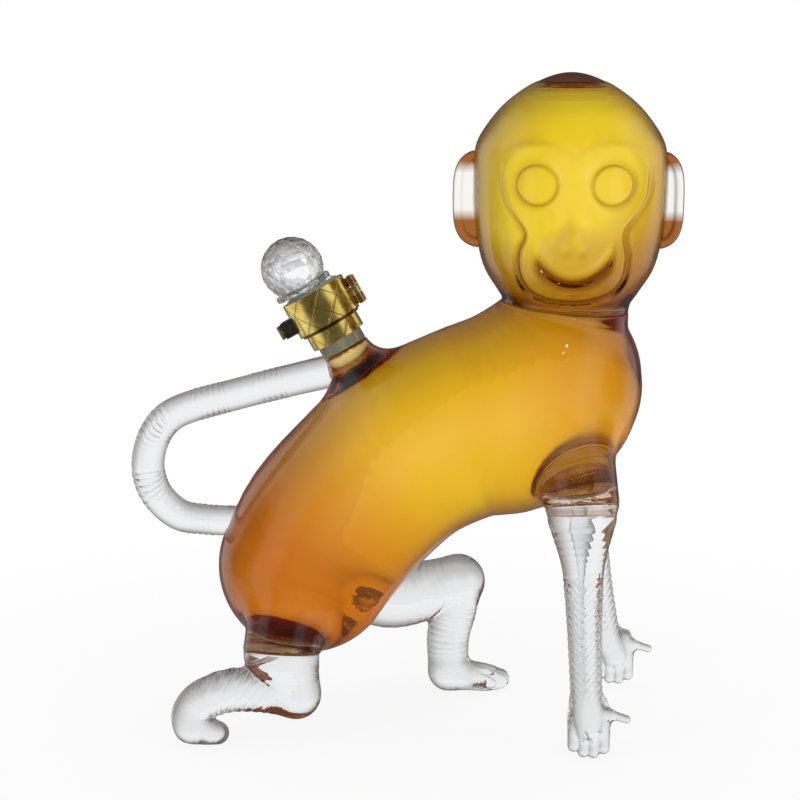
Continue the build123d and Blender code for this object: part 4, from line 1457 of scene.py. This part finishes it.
@dataclass
class Studio:
    """Floor, world, lamps and camera."""

    camera_place: Triple = (0.0689, -0.797, 0.300)
    camera_pitch: float = 11.25
    camera_turn: float = 5.0
    focal: float = 85.7
    lamps: tuple = (
        ("key_strip", (-0.75, -0.75, 0.55), (0.22, 0.9), 3.2),
        ("fill_box", (0.85, -0.55, 0.5), (0.8, 0.9), 3.0),
        ("top_box", (0.05, 0.25, 1.0), (0.9, 0.9), 3.0),
        ("glint", (0.45, -0.7, 1.0), (0.03, 0.03), 0.12),
    )
    lamp_aim: Triple = (0.0, 0.0, 0.13)
    backlight: tuple = ((0.0, (1.0, 1.0, 1.0)), (12.0, (0.98, 0.98, 0.97)), (22.0, (0.90, 0.90, 0.89)),
                        (34.0, (0.62, 0.61, 0.59)), (55.0, (0.28, 0.26, 0.24)), (90.0, (0.17, 0.15, 0.13)))
    field_axes: tuple = (((0.974, 0.225, 0.0), 0.74), ((-0.008, 0.034, 0.999), 1.12),
                         ((-0.2248, 0.9738, -0.035), 1.0))
    sheen: tuple = ((0.0, (0.10, 0.095, 0.085)), (0.55, (0.12, 0.115, 0.11)), (0.72, (0.90, 0.90, 0.90)),
                    (0.9, (0.90, 0.90, 0.90)), (0.98, (0.10, 0.10, 0.10)))
    sheen_rest: float = 0.42
    floor_radius: float = 0.42
    floor_fade: tuple[float, float] = (0.10, 0.36)
    floor_clear: float = 0.85

    def camera(self) -> None:
        """Camera at the photograph's angle."""
        data = bpy.data.cameras.new("camera")
        data.lens = self.focal
        data.sensor_width = 36.0
        data.clip_start = 0.01
        eye = new_object("camera", data)
        eye.location = self.camera_place
        eye.rotation_euler = (math.radians(90 - self.camera_pitch), 0.0, math.radians(self.camera_turn))
        bpy.context.scene.camera = eye

    def floor(self) -> None:
        """Pale round floor that keeps the figure's shadow and fades to the white round it."""
        mesh = bpy.data.meshes.new("floor")
        turns = [2 * math.pi * n / TURN_STEPS for n in range(TURN_STEPS)]
        ring = [(self.floor_radius * math.cos(turn), self.floor_radius * math.sin(turn), -0.0002)
                for turn in turns]
        mesh.from_pydata(ring, [], [list(range(TURN_STEPS))])
        plane = new_object("floor", mesh)
        nodes = Nodes("floor_paper", Base_Color=(0.88, 0.88, 0.88, 1.0), Roughness=0.6,
                      Specular_IOR_Level=0.2)
        ray = nodes.put("ShaderNodeLightPath").outputs
        glow = nodes.put("ShaderNodeEmission", {"Color": (1, 1, 1, 1)}).outputs["Emission"]
        away = nodes.put("ShaderNodeVectorMath", {0: nodes.coordinates()}, operation="LENGTH")
        fade = nodes.remap(away.outputs["Value"], self.floor_fade, (0.90, 1.0), "SMOOTHSTEP")
        seen = nodes.math("MULTIPLY", ray["Is Camera Ray"], fade)
        paper = nodes.put("ShaderNodeMixShader", {0: seen, 1: nodes.shader.outputs["BSDF"], 2: glow})
        inner = nodes.math("MAXIMUM", ray["Is Transmission Ray"], ray["Is Glossy Ray"])
        clear = nodes.put("ShaderNodeBsdfTransparent").outputs["BSDF"]
        feeds = {0: nodes.math("MULTIPLY", inner, self.floor_clear), 1: paper.outputs["Shader"], 2: clear}
        whole = nodes.put("ShaderNodeMixShader", feeds).outputs["Shader"]
        nodes.tree.links.new(whole, nodes.output.inputs["Surface"])
        plane.data.materials.append(nodes.material)

    def world(self) -> None:
        """White to the camera, with a field behind the glass that falls off faster up and down."""
        world = bpy.data.worlds.new("world")
        bpy.context.scene.world = world
        world.use_nodes = True
        graph = Graph(world.node_tree)
        ray = graph.put("ShaderNodeLightPath").outputs

        def light(colour: Socket | float) -> Socket:
            """Background of a colour or a grey."""
            tone = colour if isinstance(colour, Socket) else (colour, colour, colour, 1.0)
            return graph.put("ShaderNodeBackground", {"Color": tone}).outputs["Background"]

        def choose(kind: str, other: Socket, chosen: Socket) -> Socket:
            """One light for a kind of ray and another for the rest."""
            feeds = {0: ray[kind], 1: other, 2: chosen}
            return graph.put("ShaderNodeMixShader", feeds).outputs["Shader"]

        sky = graph.coordinates("Generated")
        away = graph.put("ShaderNodeCombineXYZ")
        for slot, (way, weight) in enumerate(self.field_axes):
            facing = graph.put("ShaderNodeVectorMath", {0: sky, 1: way}, operation="DOT_PRODUCT")
            graph.tree.links.new(graph.math("MULTIPLY", facing.outputs["Value"], weight), away.inputs[slot])
        feeds = {0: away.outputs["Vector"]}
        level = graph.put("ShaderNodeVectorMath", feeds, operation="NORMALIZE").outputs["Vector"]
        angle = graph.math("ARCCOSINE", graph.math("ABSOLUTE", graph.split(level)[2]))
        share = graph.remap(angle, (0.0, math.pi / 2))
        behind = light(graph.ramp(share, [(degrees / 90.0, colour) for degrees, colour in self.backlight]))
        shine = light(graph.ramp(graph.math("ABSOLUTE", graph.split(sky)[0]), self.sheen))
        rest = choose("Is Glossy Ray", light(self.sheen_rest), shine)
        glass = choose("Is Transmission Ray", rest, behind)
        graph.put("ShaderNodeOutputWorld", {"Surface": choose("Is Camera Ray", glass, light(1.0))})

    def light(self) -> None:
        """Soft lamps round the figure; only the small glint shows in the glass itself."""
        for name, place, size, power in self.lamps:
            data = bpy.data.lights.new(name, "AREA")
            data.shape = "RECTANGLE"
            data.size, data.size_y = size
            data.energy = power
            lamp = new_object(name, data)
            lamp.location = place
            aim = Vector(self.lamp_aim) - Vector(place)
            lamp.rotation_mode = "QUATERNION"
            lamp.rotation_quaternion = aim.to_track_quat("-Z", "Y")
            lamp.visible_transmission = name == "glint"
            lamp.visible_glossy = name == "glint"

    def make(self) -> None:
        """Set the stage, with enough bounces for light to leave glass that lies in glass."""
        scene = bpy.context.scene
        scene.view_settings.view_transform = "Standard"
        scene.cycles.max_bounces = 40
        scene.cycles.glossy_bounces = 32
        scene.cycles.transmission_bounces = 32
        self.camera()
        self.floor()
        self.world()
        self.light()


def main() -> None:
    """Build the decanter and its stage."""
    logging.basicConfig(level=logging.INFO, format="%(message)s")
    figure = Figure()
    build = Build()
    vessel = Vessel(figure, build)
    vessel.make()
    Limbs(vessel, build).make()
    Fittings(figure).make()
    Studio().make()


if __name__ == "__main__":
    main()
